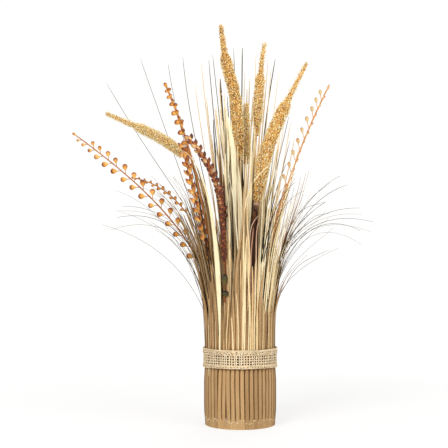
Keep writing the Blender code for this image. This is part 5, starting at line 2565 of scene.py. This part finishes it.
TUFTS = (
    StrawTuft(
        1,
        Route((0, 0), 120, (-4, 6, 340), (-8, 12, 450)),
        3.0,
        straws=0,
        neighbours=(
            Neighbour((8, 4, 384), 3.4, 0.3, Kind.CREAM),
            Neighbour((13, 4, 378), 2.4, 0.1, Kind.CREAM),
            Neighbour((20, 2, 415), 3.2, 0.4, Kind.CREAM),
            Neighbour((3, 6, 372), 3.0, 0.9),
            Neighbour((-8, 4, 430), 3.4, 0.6, Kind.CREAM),
            Neighbour((-4, -20, 413), 3.2, 0.5, Kind.CREAM),
            Neighbour((-3, -14, 404), 2.6, 0.0, Kind.DARK, 0.0, 0.8),
            Neighbour((1, -14, 402), 3.0, 0.4, Kind.CREAM),
            Neighbour((3, -16, 394), 3.0, 0.1, Kind.DARK),
            Neighbour((5, -14, 412), 2.6, 0.3, Kind.CREAM),
            Neighbour((24, 4, 446), 3.2, 0.4, Kind.CREAM),
            Neighbour((30, 4, 438), 3.0, 0.2, Kind.CREAM),
        ),
    ),
    StrawTuft(
        2,
        Route((20, -13), 110, (28, -12, 310), (48, -10, 425)),
        6.5,
        neighbours=(
            Neighbour((19, -8, 467), 2.6, 0.6, Kind.CREAM, 12.0),
            Neighbour((43, -8, 448), 2.4, 0.6, Kind.CREAM, -8.0),
            Neighbour((24, -10, 420), 2.6, 0.9),
            Neighbour((28, -10, 410), 2.2, 0.2, Kind.CREAM),
            Neighbour((60, -14, 372), 2.2, 0.4, Kind.CREAM),
        ),
    ),
    StrawTuft(
        3,
        Route((-12, -13), 110, (-18, -18, 310), (-30, -24, 430)),
        6.5,
        straws=1,
        kind=Kind.PLUM,
        shades=(0.5,),
        neighbours=(
            # Dark lines
            Neighbour((-21, -20, 442), 2.2, 0.0, Kind.DARK, -5.0, 0.8),
            Neighbour((-16, -20, 394), 2.0, 0.0, Kind.DARK, 0.0, 0.8),
            Neighbour((-40, -20, 454), 2.2, 0.15, Kind.DARK, -8.0, 0.7),
            Neighbour((-37, -22, 420), 1.8, 0.2, Kind.DARK, -9.0, 0.7),
            Neighbour((-30, -18, 404), 4.6, 0.55, Kind.PLUM, -3.0),
            Neighbour((-25, -20, 372), 3.4, 0.4, Kind.PLUM, -2.0),
            # Pale straws between them
            Neighbour((-34, -16, 446), 2.4, 0.7, Kind.CREAM, -4.0),
            Neighbour((-26, -16, 452), 3.2, 0.9, Kind.CREAM, -3.0),
            Neighbour((-20, -16, 462), 3.4, 0.8, Kind.CREAM, -1.0),
            Neighbour((-13, -16, 452), 3.2, 0.6, Kind.CREAM),
            Neighbour((-18, -24, 424), 3.6, 1.0, Kind.CREAM),
            Neighbour((-9, -20, 424), 3.4, 0.3, Kind.CREAM),
            Neighbour((-22, -26, 402), 3.4, 0.8, Kind.CREAM, -2.0),
        ),
    ),
    StrawTuft(
        4,
        Route((-12, 6), 130, (-15, 8, 340), (-30, 14, 475)),
        5.5,
        straws=5,
        neighbours=(
            Neighbour((-36, 10, 480), 2.0, 0.6, Kind.CREAM, -3.0),
            Neighbour((-24, 12, 490), 3.0, 0.9, Kind.CREAM, -1.0),
            Neighbour((-12, 12, 486), 3.0, 0.5, Kind.CREAM),
        ),
    ),
    StrawTuft(5, Route((9, -33), 120, (12, -44, 300), (16, -50, 425)), 2.6, straws=4, spread=0.6),
    StrawTuft(6, Route((22, 16), 120, (34, 28, 300), (62, 48, 430)), 6.5, straws=5),
)


def main() -> None:
    """Build the studio and every piece of the sheaf, in order."""
    Studio().build()
    palette = Palette()
    for number, reach in enumerate(CLUMPS, 1):
        StrawClump(number, reach).build(palette)
    BurlapBand().build(palette)
    for tuft in TUFTS:
        tuft.build(palette)
    for foxtail in FOXTAILS:
        foxtail.build(palette)
    for spray in SPRAYS:
        spray.build(palette)
    for leaf in LEAVES:
        leaf.build(palette)
    for number, route in enumerate(TALL_BLADES, 1):
        blade = ThinBlade(f"tall_blade_{number}", number, route, width=2.4, least=0.6, companions=0)
        blade.neighbours = BACK.get(number, ())
        blade.build(palette)
    for number, route in enumerate(ARCHING_BLADES, 1):
        blade = ThinBlade(f"arching_blade_{number:02d}", number, route, width=2.8, least=0.35, companions=1)
        blade.kind = Kind.CREAM if number == PALE_ARCHING_BLADE else Kind.DARK
        blade.build(palette)
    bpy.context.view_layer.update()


if __name__ == "__main__":
    main()
